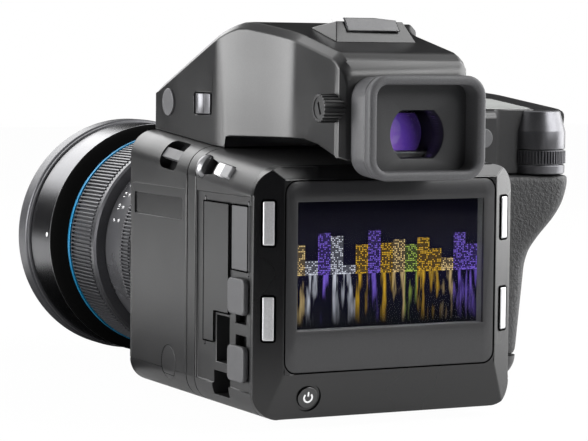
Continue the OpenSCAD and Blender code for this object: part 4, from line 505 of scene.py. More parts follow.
# Finish of each solid, and the width of its broken edges in millimetres
nodeFinish = {
    "body_shell": (powderCoat, 0.4), "mount_frame": (powderCoat, 0.3), "left_panel": (powderCoat, 0.25),
    "side_cap": (satinPaint, 0.2), "strap_bar": (greyPaint, 0.2), "tripod_bush": (dullBrass, 0.2),
    "base_screws": (turnedSteel, 0.1), "lens_mount_ring": (turnedSteel, 0.2),
    "lens_release_button": (mouldedBlack, 0.3), "reflex_mirror": (turnedSteel, 0),
    "focusing_screen": (whitePlastic, 0), "shutter_cassette": (blackAnodised, 0),
    "back_housing": (satinPaint, 0.3), "rear_bezel": (bezelLacquer, 0.45),
    "cover_glass": (printedGlass, 0), "display_panel": (nightPicture, 0), "key_upper_left": (satinNickel, 0.6),
    "key_lower_left": (satinNickel, 0.6), "key_upper_right": (satinNickel, 0.6),
    "key_lower_right": (satinNickel, 0.6), "power_button": (glossEnamel, 0.3), "card_door": (satinPaint, 0.25),
    "port_door": (flapRubber, 0.3), "upper_tab": (flapRubber, 0.5), "lower_tab": (flapRubber, 0.5),
    "socket_block": (mouldedBlack, 0.1), "back_latch": (darkNickel, 0.2), "lock_button": (lockPlastic, 0.4),
    "image_sensor": (glossEnamel, 0), "sensor_board": (mouldedBlack, 0), "prism_housing": (powderCoat, 0.6),
    "pentaprism": (glossEnamel, 0), "prism_button": (greyPaint, 0.3), "prism_slide": (darkNickel, 0.4),
    "dioptre_knob": (mouldedBlack, 0.12), "eyepiece_panel": (eyepieceMatt, 0.2), "eyepiece_lens": (clearGlass, 0.1),
    "eyecup": (eyecupRubber, 0.8), "accessory_shoe": (powderCoat, 0.3), "shoe_cover": (mouldedBlack, 0.25),
    "grip_core": (mouldedBlack, 0), "grip_skin": (leatherette, 0), "grip_top": (satinPaint, 0),
    "battery": (mouldedBlack, 0), "battery_door": (mouldedBlack, 0), "top_display": (statusPanel, 0.1),
    "shutter_button": (turnedSteel, 0.3), "front_dial": (blackAnodised, 0), "rear_dial": (blackAnodised, 0),
    "rear_button": (greyPaint, 0.3), "lens_bayonet": (glossEnamel, 0.2), "mode_ring": (blackAnodised, 0),
    "name_barrel": (nameBlack, 0.2), "focus_ring": (blackAnodised, 0), "accent_ring": (blueAnodised, 0.15),
    "front_barrel": (bellBlackWithPaintedShade, 0.25), "front_ring": (greyAnodised, 0.3), "front_lens": (opticGlass, 0),
    "focus_group": (opticGlass, 0), "leaf_shutter": (blackAnodised, 0),
}

# Solids whose flat faces have no holes: their flats are merged, so that the edges break evenly
wholeFaces = ("key_upper_left", "key_lower_left", "key_upper_right", "key_lower_right", "prism_slide", "lock_button",
              "upper_tab", "lower_tab", "port_door", "card_door", "shoe_cover", "power_button", "strap_bar",
              "prism_button", "top_display", "rear_button", "shutter_button", "back_latch", "side_cap")
# Castings and covers with holes: piece, shortest edge that is broken, and slot
castings = {
    "prism_housing": ("prismCasting", 2.4, "body_paint"), "body_shell": ("bodyCasting", 7, "body_paint"),
    "mount_frame": ("mountFrameCasting", 7, "body_paint"), "left_panel": ("leftSidePanel", 9, "panel_paint"),
    "back_housing": ("backCasting", 9, "panel_paint"), "rear_bezel": ("bezelFrame", 3, "body_paint"),
    "accessory_shoe": ("shoeBlock", 3, "body_paint"),
}


# Copies a CAD solid and joins its faces
def copyNode(nodeName, pieceName):
    piece = nodes[nodeName].copy()
    piece.data = nodes[nodeName].data.copy()
    piece.name = pieceName
    piece.parent = None
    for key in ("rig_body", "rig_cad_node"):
        del piece[key]
    bpy.context.scene.collection.objects.link(piece)
    piece.hide_render = piece.hide_viewport = False
    piece.hide_set(False)
    selectOnly(piece)
    bpy.ops.mesh.customdata_custom_splitnormals_clear()
    editMode()
    pickAll()
    bpy.ops.mesh.remove_doubles(threshold=joinGap)
    objectMode()
    return piece


# Breaks the long edges of a casting
def breakLongEdges(piece, edge, shortest):
    editMode()
    pick("edges", lambda e: e.calc_face_angle(0) > math.radians(sharpEdge) and e.calc_length() > shortest * mm)
    bevelPicked(edge, 3)
    objectMode()
    smoothShade(piece, 30)
    applyModifier(piece, "WEIGHTED_NORMAL", weight=60, keep_sharp=True)


for nodeName, (material, edge) in nodeFinish.items():
    if nodeName in castings:
        pieceName, shortest, slotName = castings[nodeName]
        casting = copyNode(nodeName, pieceName)
        breakLongEdges(casting, edge, shortest)
        placePiece(casting, material, "camera", slotName, nodeName)
        continue
    # live modifiers on the other CAD solids: joined faces, and edges broken as on the real parts
    node = nodes[nodeName]
    node.data.materials.clear()
    node.data.materials.append(material)
    bpy.context.view_layer.objects.active = node
    bpy.ops.mesh.customdata_custom_splitnormals_clear()
    node.data.shade_smooth()
    addModifier(node, "joinFaces", "WELD", merge_threshold=joinGap)
    if nodeName in wholeFaces:
        addModifier(node, "mergeFlats", "DECIMATE", decimate_type="DISSOLVE", angle_limit=math.radians(0.4))
    if edge:
        addModifier(node, "breakEdges", "BEVEL", width=edge * mm, segments=2, limit_method="ANGLE",
                    angle_limit=math.radians(sharpEdge), use_clamp_overlap=False)
        addModifier(node, "evenNormals", "WEIGHTED_NORMAL", weight=60)
    else:
        addModifier(node, "sharpEdges", "EDGE_SPLIT", split_angle=math.radians(sharpEdge))
print("solids dressed")


# Eyecup: a soft rubber frame, flared, with a pocket for the eye and a groove round its side
cup = {"low": (-21.6, -105.0, 78.3), "high": (21.6, -90.0, 112.1), "flare": (0.935, 1, 0.955), "corner": 7.0,
       "wall": 3.1, "pocket": 7.4, "backWall": 3.6, "lip": 1.25, "groove": (-101.3, -100.7, -100.1),
       "grooveIn": 0.978}
eyecupPiece = startBlock("eyecupFrame", cup["low"], cup["high"])
cupMiddle = [(a + b) / 2 * mm for a, b in zip(cup["low"], cup["high"])]
editMode()
pick("faces", lambda f: f.normal.y > facing)
bpy.ops.transform.resize(value=cup["flare"], center_override=cupMiddle)
pick("edges", lambda e: abs(e.verts[0].co.y - e.verts[1].co.y) > cup["wall"] * mm)
bevelPicked(cup["corner"], 8)
pick("faces", lambda f: f.normal.y < -facing)
insetPicked(cup["wall"])
drawOut((0, cup["pocket"], 0))
deletePicked()
pick("faces", lambda f: f.normal.y > facing)
insetPicked(cup["backWall"])
deletePicked()
bridgeOpenEdges()
pick("edges", lambda e: max(v.co.y for v in e.verts) < cup["low"][1] * mm + near
     and e.calc_face_angle(0) > cornerTurn)
bevelPicked(cup["lip"], 4)
for place in cup["groove"]:
    cutAcross((0, place, 0), (0, 1, 0))
pick("verts", lambda v: abs(v.co.y - cup["groove"][1] * mm) < near
     and v.normal.x * v.co.x + v.normal.z * (v.co.z - cupMiddle[2]) > 0)
bpy.ops.transform.resize(value=(cup["grooveIn"], 1, cup["grooveIn"]), center_override=cupMiddle)
facesOutward()
objectMode()
smoothShade(eyecupPiece, 40)
placePiece(eyecupPiece, eyecupRubber, "camera", "rubber", "eyecup")

# Cover glass: a printed mask with a window, a clear pane in it, and the grey walls down to the display
glass = {"half": 39.2, "low": 15.4, "top": 77.6, "rear": -82.0, "thick": 1.2, "corner": 4.0, "edge": 0.3,
         "windowHalf": 34.85, "windowLow": 29.1, "windowTop": 70.9, "paneFront": 0.05, "paneBack": 0.45,
         "paneGap": 0.01, "paneEdge": 0.06, "displayY": -78.0, "displayGap": 0.02, "wallThick": 0.9}
glassMask = startBlock("printedGlassMask", (-glass["half"], glass["rear"], glass["low"]),
                       (glass["half"], glass["rear"] + glass["thick"], glass["top"]))
editMode()
roundAlong(1, glass["corner"], 10)
for point, normal in (((glass["windowHalf"], 0, 0), (1, 0, 0)), ((-glass["windowHalf"], 0, 0), (1, 0, 0)),
                      ((0, 0, glass["windowLow"]), (0, 0, 1)), ((0, 0, glass["windowTop"]), (0, 0, 1))):
    cutAcross(point, normal)
pick("faces", lambda f: abs(f.normal.y) > facing and abs(f.calc_center_median().x) < glass["windowHalf"] * mm
     and glass["windowLow"] * mm < f.calc_center_median().z < glass["windowTop"] * mm)
deletePicked()
bridgeOpenEdges()
objectMode()
breakEdges(glassMask, glass["edge"], 50)
smoothShade(glassMask, 40)
placePiece(glassMask, printedGlass, "camera", "cover_glass", "cover_glass")

glassPane = startBlock("displayPane", (-glass["windowHalf"] + glass["paneGap"], glass["rear"] + glass["paneFront"],
                                       glass["windowLow"] + glass["paneGap"]),
                       (glass["windowHalf"] - glass["paneGap"], glass["rear"] + glass["paneBack"],
                        glass["windowTop"] - glass["paneGap"]))
editMode()
pick("edges", lambda e: not runsAlong(e, 1) and edgeMiddle(e).y < (glass["rear"] + 2 * glass["paneFront"]) * mm)
bevelPicked(glass["paneEdge"], 1)
objectMode()
placePiece(glassPane, clearGlass, "camera", "cover_glass")

displayWall = startBlock("displayWall", (-glass["windowHalf"] - glass["wallThick"], glass["rear"] + glass["thick"],
                                         glass["windowLow"] - glass["wallThick"]),
                         (glass["windowHalf"] + glass["wallThick"], glass["displayY"] - glass["displayGap"],
                          glass["windowTop"] + glass["wallThick"]))
editMode()
pick("faces", lambda f: abs(f.normal.y) > facing)
insetPicked(glass["wallThick"])
deletePicked()
bridgeOpenEdges()
objectMode()
placePiece(displayWall, greyWall, "camera", "trim_black")

# Power sign on its key: an open ring and a bar, printed in white
powerSign = {"key": "power_button", "ring": 1.75, "band": 0.68, "bar": (0.52, 1.495), "barLift": 1.2075, "gap": 42,
             "thick": 0.06, "out": (0, -0.98007, -0.19866), "up": (0, -0.19866, 0.98007)}
deselectAll()
bpy.ops.mesh.primitive_circle_add(vertices=72, radius=powerSign["ring"] * mm, fill_type="NOTHING")
signPiece = bpy.context.object
signPiece.name = "powerSign"
editMode()
pick("verts", lambda v: v.co.y > powerSign["ring"] * mm * math.cos(math.radians(powerSign["gap"])))
bpy.ops.mesh.delete(type="VERT")
pickAll()
bpy.ops.mesh.extrude_edges_move()
bpy.ops.transform.resize(value=(powerSign["band"],) * 3, center_override=(0, 0, 0))
bpy.ops.mesh.primitive_plane_add(size=1)
bpy.ops.transform.resize(value=[c * mm for c in powerSign["bar"]] + [1], center_override=(0, 0, 0))
movePicked((0, powerSign["barLift"], 0))
facesOutward()
objectMode()
applyModifier(signPiece, "SOLIDIFY", thickness=powerSign["thick"] * mm, offset=1.0)
setOn(signPiece, powerSign["key"], Vector(powerSign["out"]), Vector(powerSign["up"]))
placePiece(signPiece, whiteInk, "power_button", "key_metal")

lensMiddle = (0, 0, 44.0)
upright = {1: (math.pi / 2, 0, 0), 2: (0, 0, 0)}  # turn that lays a cylinder's axis along Y or Z


# Draws the picked loops on through stations, each moved along the axis and scaled about it
def drawThrough(axis, middle, place, radius, stations):
    for nextPlace, nextRadius in stations:
        step, scale = [0, 0, 0], [nextRadius / radius] * 3
        step[axis], scale[axis] = (nextPlace - place) * mm, 1
        bpy.ops.mesh.extrude_edges_move(TRANSFORM_OT_translate={"value": step})
        bpy.ops.transform.resize(value=scale, center_override=[c * mm for c in middle])
        place, radius = nextPlace, nextRadius


# Ribbed ring round an axis: every second face of a drum is drawn out as a rib with broken edges, then the lips and
# the bore are drawn through their stations of place along the axis and radius
def ribbedRing(name, axis, middle, ring):
    run = ring["ribRun"]
    centre = list(middle)
    centre[axis] = sum(run) / 2
    piece = startDrum(name, 2 * ring["ribs"], ring["root"], run[1] - run[0], centre, upright[axis], "NOTHING")
    editMode()
    step = math.pi / ring["ribs"]
    pick("faces", lambda f: math.floor(math.atan2(f.normal[0], f.normal[3 - axis]) / step) % 2 == 0)
    bpy.ops.mesh.extrude_region_shrink_fatten(
        TRANSFORM_OT_shrink_fatten={"value": (ring["crown"] - ring["root"]) * mm})
    pick("edges", lambda e: runsAlong(e, axis) and math.hypot(
        edgeMiddle(e)[0] - centre[0] * mm,
        edgeMiddle(e)[3 - axis] - centre[3 - axis] * mm) > (ring["crown"] - ring["edge"] / 2) * mm)
    bevelPicked(ring["edge"], 2)
    for end, stations in ((run[0], ring["firstLip"]), (run[1], ring["lastLip"])):
        pick("edges", lambda e: e.is_boundary and abs(edgeMiddle(e)[axis] - end * mm) < near)
        drawThrough(axis, middle, end, ring["root"], stations)
    bridgeOpenEdges()
    facesOutward()
    objectMode()
    smoothShade(piece, 30)
    return piece


# Turned piece: a circle drawn through stations; it closes on itself or its ends are capped
def turnedPiece(name, axis, middle, stations):
    centre = [c * mm for c in middle]
    centre[axis] = stations[0][0] * mm
    deselectAll()
    bpy.ops.mesh.primitive_circle_add(vertices=128, radius=stations[0][1] * mm, fill_type="NOTHING", location=centre,
                                      rotation=upright[axis])
    piece = settle(name)
    editMode()
    pickAll()
    drawThrough(axis, middle, *stations[0], stations[1:])
    pickAll()
    bpy.ops.mesh.remove_doubles(threshold=mergeGap)
    bpy.ops.mesh.fill_holes(sides=0)
    facesOutward()
    objectMode()
    smoothShade(piece, 30)
    return piece


focusGrip = {"ribs": 172, "root": 41.0, "crown": 42.2, "edge": 0.22, "ribRun": (81.6, 101.6),
             "firstLip": ((81.6, 41.8), (78.6, 41.8), (77.8, 41.0), (77.8, 35.1)),
             "lastLip": ((101.6, 41.9), (102.2, 41.9), (102.2, 35.1))}
placePiece(ribbedRing("focusGripRing", 1, lensMiddle, focusGrip), blackAnodised, "focus_ring", "ring_black",
           "focus_ring")
modeGrip = {"ribs": 194, "root": 40.9, "crown": 42.0, "edge": 0.2, "ribRun": (43.9, 51.8),
            "firstLip": ((43.9, 41.5), (43.3, 41.5), (43.3, 35.1)),
            "lastLip": ((51.8, 41.4), (52.2, 41.4), (52.2, 35.1))}
placePiece(ribbedRing("modeGripRing", 1, lensMiddle, modeGrip), blackAnodised, "mode_ring", "ring_black",
           "mode_ring")

# Polished bead where the bell's flare ends, and the front ring's skirt over the groove behind it
beadStations = ((113.9, 46.0), (114.1, 46.3), (114.5, 46.3), (114.7, 46.0), (114.7, 45.6), (113.9, 45.6),
                (113.9, 46.0))
placePiece(turnedPiece("bellBead", 1, lensMiddle, beadStations), darkNickel, "camera", "gloss_black")
skirtStations = ((136.4, 46.3), (136.7, 46.8), (138.5, 46.9), (138.5, 45.1), (136.4, 45.1), (136.4, 46.3))
placePiece(turnedPiece("frontRingSkirt", 1, lensMiddle, skirtStations), greyAnodised, "camera", "ring_black")

# Index dot on the bell: a white enamelled stud, domed
dot = {"y": 117.6, "turn": 3.0, "radius": 0.95, "bellRadius": 46.2, "proud": 0.12, "sunk": 0.6, "edge": 0.1}
dotTurn = math.radians(dot["turn"])
dotOut = Vector((-math.cos(dotTurn), 0, math.sin(dotTurn)))
dotMiddle = Vector((0, dot["y"], lensMiddle[2])) + dotOut * (dot["bellRadius"] + (dot["proud"] - dot["sunk"]) / 2)
dotPiece = startDrum("bellIndexDot", 32, dot["radius"], dot["proud"] + dot["sunk"], dotMiddle,
                     dotOut.to_track_quat("Z", "Y").to_euler())
editMode()
pick("faces", lambda f: f.normal.dot(dotOut) > parallel)
bevelPicked(dot["edge"], 2)
objectMode()
smoothShade(dotPiece)
placePiece(dotPiece, whiteInk, "camera", "gloss_black")

# Eyepiece plate: a flange that fills the eyecup's pocket, a neck into the housing and a window with two flats
eyepiece = {"half": 17.9, "low": 81.0, "top": 109.2, "rear": -97.5, "flange": 2.0, "corner": 4.0, "neckIn": 3.4,
            "front": -90.0, "window": 9.75, "windowRun": (-99.0, -88.0), "flat": 7.7, "z": 93.0, "rim": 0.5,
            "rimReach": 1.03}
platePiece = startBlock("eyepiecePlate", (-eyepiece["half"], eyepiece["rear"], eyepiece["low"]),
                        (eyepiece["half"], eyepiece["rear"] + eyepiece["flange"], eyepiece["top"]))
editMode()
roundAlong(1, eyepiece["corner"], 6)
pick("faces", lambda f: f.normal.y > facing)
insetPicked(eyepiece["neckIn"])
drawOut((0, eyepiece["front"] - eyepiece["rear"] - eyepiece["flange"], 0))
objectMode()


# Cylinder along Y with its top and bottom cut to flats
def flattedDrum(name, radius, flat, y, z):
    piece = startDrum(name, 72, radius, y[1] - y[0], (0, sum(y) / 2, z), upright[1])
    editMode()
    for side in (1, -1):
        cutAcross((0, 0, z + side * flat), (0, 0, side), True)
    objectMode()
    return piece


cutter = flattedDrum("windowCutter", eyepiece["window"], eyepiece["flat"], eyepiece["windowRun"], eyepiece["z"])
cutAway(platePiece, cutter)
editMode()
pick("edges", lambda e: max(v.co.y for v in e.verts) < eyepiece["rear"] * mm + near
     and e.calc_face_angle(0) > cornerTurn
     and (edgeMiddle(e) - Vector((0, edgeMiddle(e).y, eyepiece["z"] * mm))).length
     < eyepiece["rimReach"] * eyepiece["window"] * mm)
bevelPicked(eyepiece["rim"], 2)
objectMode()
smoothShade(platePiece, 30)
placePiece(platePiece, eyepieceMatt, "camera", "trim_black", "eyepiece_panel")

fieldLens = {"radius": 9.2, "flat": 6.6, "y": (-84.0, -82.0), "z": 93.0, "edge": 0.5}
fieldPiece = flattedDrum("finderFieldLens", fieldLens["radius"], fieldLens["flat"], fieldLens["y"], fieldLens["z"])
breakEdges(fieldPiece, fieldLens["edge"], 50)
smoothShade(fieldPiece)
placePiece(fieldPiece, fieldLensPaintedGlow, "camera", "optic_glass")

# Shoe cover: its slider as built, with a flap that stands behind the shoe's sloping rear face and steps down
flap = {"half": 9.9, "rear": -67.9, "thick": 0.8, "low": 126.3, "top": 130.7, "lean": 3.1, "stepAt": 1.6, "step": 0.7,
        "behind": 0.5, "edge": 0.2}
coverPiece = copyNode("shoe_cover", "shoeCoverFlap")
editMode()
cutAcross((0, flap["rear"] + flap["behind"], flap["low"]), (0, flap["low"] - flap["top"], flap["lean"]), True)
bpy.ops.mesh.select_all(action="DESELECT")
addBlock((-flap["half"], flap["rear"], flap["low"]), (flap["half"], flap["rear"] + flap["thick"], flap["top"]))
bpy.ops.mesh.bisect(plane_co=(flap["stepAt"] * mm, 0, 0), plane_no=(1, 0, 0))
pick("verts", lambda v: v.co.z > flap["top"] * mm - near)
movePicked((0, flap["lean"], 0))
pick("verts", lambda v: v.co.z > flap["top"] * mm - near and v.co.x > flap["stepAt"] * mm + near)
movePicked((0, 0, -flap["step"]))
objectMode()
breakEdges(coverPiece, flap["edge"], 60, True)
smoothShade(coverPiece, 30)
placePiece(coverPiece, coverGrey, "shoe_cover", "trim_black", "shoe_cover")

# Painted shadow of the slot under the flap: a black block sunk in the shoe's rear face
slot = {"half": 10.3, "y": -67.35, "low": 125.35, "top": 126.15, "lean": 0.55, "deep": 1.2, "edge": 0.15}
slotShadowPiece = startBlock("shoeSlotPaintedShadow", (-slot["half"], slot["y"], slot["low"]),
                       (slot["half"], slot["y"] + slot["deep"], slot["top"]))
editMode()
pick("verts", lambda v: v.co.z > slot["top"] * mm - near)
movePicked((0, slot["lean"], 0))
roundAlong(0, slot["edge"], 2)
objectMode()
placePiece(slotShadowPiece, jointBlackAndPaintedShadow, "camera", "trim_black")

# Prism lock slide: a polished barrel across its front, a flat tail behind
slide = {"low": (-37.7, -19.0, 97.7), "high": (-36.3, -7.0, 104.7), "barrelX": -34.6, "barrelY": -11.2, "barrel": 4.4,
         "sunk": 0.05, "edge": 0.25}
slidePiece = startBlock("prismLockSlide", slide["low"], slide["high"])
editMode()
bpy.ops.mesh.select_all(action="DESELECT")
bpy.ops.mesh.primitive_cylinder_add(vertices=72, radius=slide["barrel"] * mm,
                                    depth=(slide["high"][2] - slide["low"][2]) * mm,
                                    location=(slide["barrelX"] * mm, slide["barrelY"] * mm,
                                              (slide["low"][2] + slide["high"][2]) / 2 * mm))
bpy.ops.mesh.bisect(plane_co=((slide["high"][0] - slide["sunk"]) * mm, 0, 0), plane_no=(1, 0, 0), clear_outer=True,
                    use_fill=True)
objectMode()
breakEdges(slidePiece, slide["edge"], 50)
smoothShade(slidePiece, 40)
placePiece(slidePiece, turretMetal, "prism_slide", "key_metal", "prism_slide")

# Dioptre knob: toothed rim with broken tips, a dished face and a slanted coin slot
knob = {"y": -85.0, "z": 101.2, "radius": 4.3, "outer": -29.5, "inner": -21.2, "teeth": 22, "tooth": 0.4, "tip": 0.3,
        "rim": 0.8, "dish": 0.3, "slotTurn": 24, "slotHalf": (0.5, 2.2), "slotDeep": 0.5}
knobPiece = startDrum("dioptreKnob", 2 * knob["teeth"], knob["radius"], knob["inner"] - knob["outer"],
                      ((knob["outer"] + knob["inner"]) / 2, knob["y"], knob["z"]), (0, math.pi / 2, 0))
knobMiddle = Vector((0, knob["y"] * mm, knob["z"] * mm))
editMode()
toothStep = math.pi / knob["teeth"]
pick("faces", lambda f: abs(f.normal.x) < 0.1 and math.floor(math.atan2(f.normal.y, f.normal.z) / toothStep) % 2 == 0)
bpy.ops.mesh.extrude_region_shrink_fatten(TRANSFORM_OT_shrink_fatten={"value": knob["tooth"] * mm})
pick("edges", lambda e: max(v.co.x for v in e.verts) < knob["outer"] * mm + near
     and min((v.co - knobMiddle).yz.length for v in e.verts) > (knob["radius"] + 0.5 * knob["tooth"]) * mm)
bevelPicked(knob["tip"], 2)
pick("faces", lambda f: f.normal.x < -facing
     and (f.calc_center_median() - knobMiddle).yz.length < 0.5 * knob["tooth"] * mm)
insetPicked(knob["rim"])
drawOut((knob["dish"], 0, 0))
slotLong = Vector((0, math.sin(math.radians(knob["slotTurn"])), math.cos(math.radians(knob["slotTurn"]))))
slotWide = Vector((0, slotLong.z, -slotLong.y))
for side in (1, -1):
    for axis, half in ((slotWide, knob["slotHalf"][0]), (slotLong, knob["slotHalf"][1])):
        pick("faces", lambda f: f.normal.x < -facing
             and (f.calc_center_median() - knobMiddle).yz.length < (knob["radius"] - knob["rim"]) * mm
             and f.calc_center_median().x > (knob["outer"] + knob["dish"] / 2) * mm)
        bpy.ops.mesh.bisect(plane_co=knobMiddle + axis * side * half * mm, plane_no=axis)
pick("faces", lambda f: f.normal.x < -facing and f.calc_center_median().x > (knob["outer"] + knob["dish"] / 2) * mm
     and abs((f.calc_center_median() - knobMiddle).dot(slotWide)) < knob["slotHalf"][0] * mm
     and abs((f.calc_center_median() - knobMiddle).dot(slotLong)) < knob["slotHalf"][1] * mm)
drawOut((knob["slotDeep"], 0, 0))
objectMode()
smoothShade(knobPiece, 30)
placePiece(knobPiece, mouldedBlack, "dioptre_knob", "trim_black", "dioptre_knob")

# Latch of the back: a tall polished dome leaning with the shoulder, cut flat behind
latch = {"middle": (-46.9, -36.4, 80.5), "half": (3.1, 3.2, 4.3), "lean": 30, "cut": -38.6, "edge": 0.3}
deselectAll()
bpy.ops.mesh.primitive_uv_sphere_add(segments=40, ring_count=20, radius=1, location=[c * mm for c in latch["middle"]],
                                     rotation=(0, math.radians(latch["lean"]), 0),
                                     scale=[c * mm for c in latch["half"]])
latchPiece = settle("backLatchDome")
editMode()
cutAcross((0, latch["cut"], 0), (0, -1, 0), True)
pick("edges", lambda e: max(abs(v.co.y - latch["cut"] * mm) for v in e.verts) < mergeGap)
bevelPicked(latch["edge"], 2)
objectMode()
smoothShade(latchPiece, 40)
placePiece(latchPiece, darkNickel, "back_latch", "steel", "back_latch")

# Grip top: the built solid with a thumb recess, so that the turret round the rear dial stands proud
recess = {"low": (73.0, -31.0, 74.0), "high": (108.0, -21.8, 108.0), "corner": 5.0, "edge": 0.7, "shortest": 8}
gripTop = copyNode("grip_top", "gripTopShell")
recessCutter = startBlock("gripRecessCutter", recess["low"], recess["high"])
editMode()
pick("edges", lambda e: runsAlong(e, 2) and edgeMiddle(e).x < recess["low"][0] * mm + near
     and edgeMiddle(e).y > recess["high"][1] * mm - near)
bevelPicked(recess["corner"], 8)
objectMode()
cutAway(gripTop, recessCutter)
breakLongEdges(gripTop, recess["edge"], recess["shortest"])
placePiece(gripTop, satinPaint, "camera", "body_paint", "grip_top")

# Turret of the grip, turned, with the ribbed rear dial in its waist
turretMiddle = (95.77, -19.2, 0)
turretStations = ((75.3, 9.6), (75.6, 10.2), (78.3, 10.3), (78.6, 10.1), (78.6, 8.4), (84.4, 8.4), (84.4, 10.1),
                  (84.7, 10.4), (91.0, 10.4), (91.3, 10.3), (98.2, 8.4), (98.6, 7.9))
placePiece(turnedPiece("gripTurret", 2, turretMiddle, turretStations), turretMetal, "camera", "body_paint")
dialGrip = {"ribs": 56, "root": 9.9, "crown": 10.6, "edge": 0.15, "ribRun": (79.2, 83.8),
            "firstLip": ((79.2, 10.1), (78.9, 9.9), (78.9, 8.6)), "lastLip": ((83.8, 10.1), (84.1, 9.9), (84.1, 8.6))}
placePiece(ribbedRing("rearDialWheel", 2, turretMiddle, dialGrip), blackAnodised, "rear_dial", "ring_black",
           "rear_dial")

# Grip covering: the built solid drawn soft, as rubber pulled over the core
soft = {"voxel": 1.0, "pull": 0.5, "passes": 24, "bulgeFrom": (97.0, 62.0), "bulge": (3.0, -1.0, 0), "reach": 24.0}
gripCover = copyNode("grip_skin", "gripCovering")
applyModifier(gripCover, "REMESH", mode="VOXEL", voxel_size=soft["voxel"] * mm)
applyModifier(gripCover, "SMOOTH", factor=soft["pull"], iterations=soft["passes"])
selectOnly(gripCover)
editMode()
pick("verts", lambda v: v.co.x > soft["bulgeFrom"][0] * mm and v.co.z > soft["bulgeFrom"][1] * mm)
bpy.ops.transform.translate(value=[c * mm for c in soft["bulge"]], use_proportional_edit=True,
                            proportional_edit_falloff="SMOOTH", proportional_size=soft["reach"] * mm)
objectMode()
smoothShade(gripCover, 180)
placePiece(gripCover, leatherette, "camera", "leatherette", "grip_skin")


# Dark seam round a cover: the outline of the node's outer face, drawn out into a narrow frame about that face
def seamRound(nodeName, pieceName, outward, seam):
    piece = copyNode(nodeName, pieceName)
    front = max(v.co.dot(outward) for v in piece.data.vertices)
    editMode()
    level, skin = 0.98, 0.2 * mm  # cosine and depth within which a face belongs to the outer one
    pick("faces", lambda f: f.normal.dot(outward) < level or f.calc_center_median().dot(outward) < front - skin)
    deletePicked()
    pickAll()
    bpy.ops.mesh.dissolve_faces()
    pickAll()
    bpy.ops.mesh.extrude_region_move(TRANSFORM_OT_translate={"value": -outward * seam["deep"] * mm})
    facesOutward()
    pick("faces", lambda f: abs(f.normal.dot(outward)) > facing)
    deletePicked()
    pickAll()
    bpy.ops.mesh.extrude_region_shrink_fatten(TRANSFORM_OT_shrink_fatten={"value": seam["wide"] * mm})
    pickAll()
    movePicked(outward * seam["proud"])
    facesOutward()
    objectMode()
    placePiece(piece, jointBlackAndPaintedShadow, "camera", "trim_black")


leftward = Vector((-1, 0, 0))
doorSeam = {"deep": 0.3, "wide": 0.42, "proud": 0.13}
seamRound("card_door", "cardDoorSeam", leftward, doorSeam)
seamRound("port_door", "portDoorSeam", leftward, doorSeam)
seamRound("side_cap", "sideCapSeam", leftward, {"deep": 0.3, "wide": 0.3, "proud": 0.03})
seamRound("cover_glass", "coverGlassSeam", Vector((0, -1, 0)), {"deep": 0.3, "wide": 0.45, "proud": 0.03})
# The keys stand 0.6 mm out of the bevel that their seams lie on
keySeam = {"deep": 0.3, "wide": 0.5, "proud": -0.56, "out": (0.49828, -0.86701)}
for side, sign in (("left", -1), ("right", 1)):
    for level in ("upper", "lower"):
        seamRound("key_" + level + "_" + side, level + side.capitalize() + "KeySeam",
                  Vector((sign * keySeam["out"][0], keySeam["out"][1], 0)), keySeam)

# Dark bare strip laid in the sunk name field of the left side panel
strip = {"half": 21.0, "low": 61.5, "top": 68.9, "back": -47.75, "face": -48.05, "corner": 0.9}
panelLow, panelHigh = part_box("left_panel")
stripMiddle = (panelLow[1] + panelHigh[1]) / 2 / mm
stripPiece = startBlock("nameStrip", (strip["face"], stripMiddle - strip["half"], strip["low"]),
                        (strip["back"], stripMiddle + strip["half"], strip["top"]))
editMode()
roundAlong(0, strip["corner"], 4)
objectMode()
placePiece(stripPiece, bezelLacquer, "camera", "trim_black")

# Plain distance figures printed on the flared barrel, each set flat on the slope at its own angle
figures = {"size": 3.0, "thick": 0.06, "slope": 0.12, "first": 17, "step": 8,
           "rows": ((66.0, 38.25, ("2", "3", "4", "6", "10")), (71.5, 37.65, ("7", "10", "13", "20", "33")))}
printed = []
for y, radius, row in figures["rows"]:
    for index, figure in enumerate(row):
        turn = math.radians(figures["first"] + figures["step"] * index)
        ray = Vector((-math.cos(turn), 0, math.sin(turn)))
        out = (ray + Vector((0, figures["slope"], 0))).normalized()
        up = (Vector((0, 1, 0)) - ray * figures["slope"]).normalized()
        stands = Matrix((up.cross(out), up, out)).transposed()
        deselectAll()
        bpy.ops.object.text_add(location=(Vector(lensMiddle) + Vector((0, y, 0)) + ray * radius) * mm,
                                rotation=stands.to_euler())
        ink = bpy.context.object
        ink.data.body = figure
        ink.data.size = figures["size"] * mm
        ink.data.extrude = figures["thick"] * mm
        ink.data.align_x = ink.data.align_y = "CENTER"
        bpy.ops.object.convert(target="MESH")
        bpy.ops.object.transform_apply(location=True, rotation=True, scale=True)
        printed.append(ink)
deselectAll()
for ink in printed:
    ink.select_set(True)
bpy.context.view_layer.objects.active = printed[0]
bpy.ops.object.join()
bpy.context.object.name = "distanceFigures"
editMode()
pickAll()
bpy.ops.mesh.remove_doubles(threshold=mergeGap)
facesOutward()
objectMode()
placePiece(bpy.context.object, whiteInk, "camera", "gloss_black")
print("pieces made")

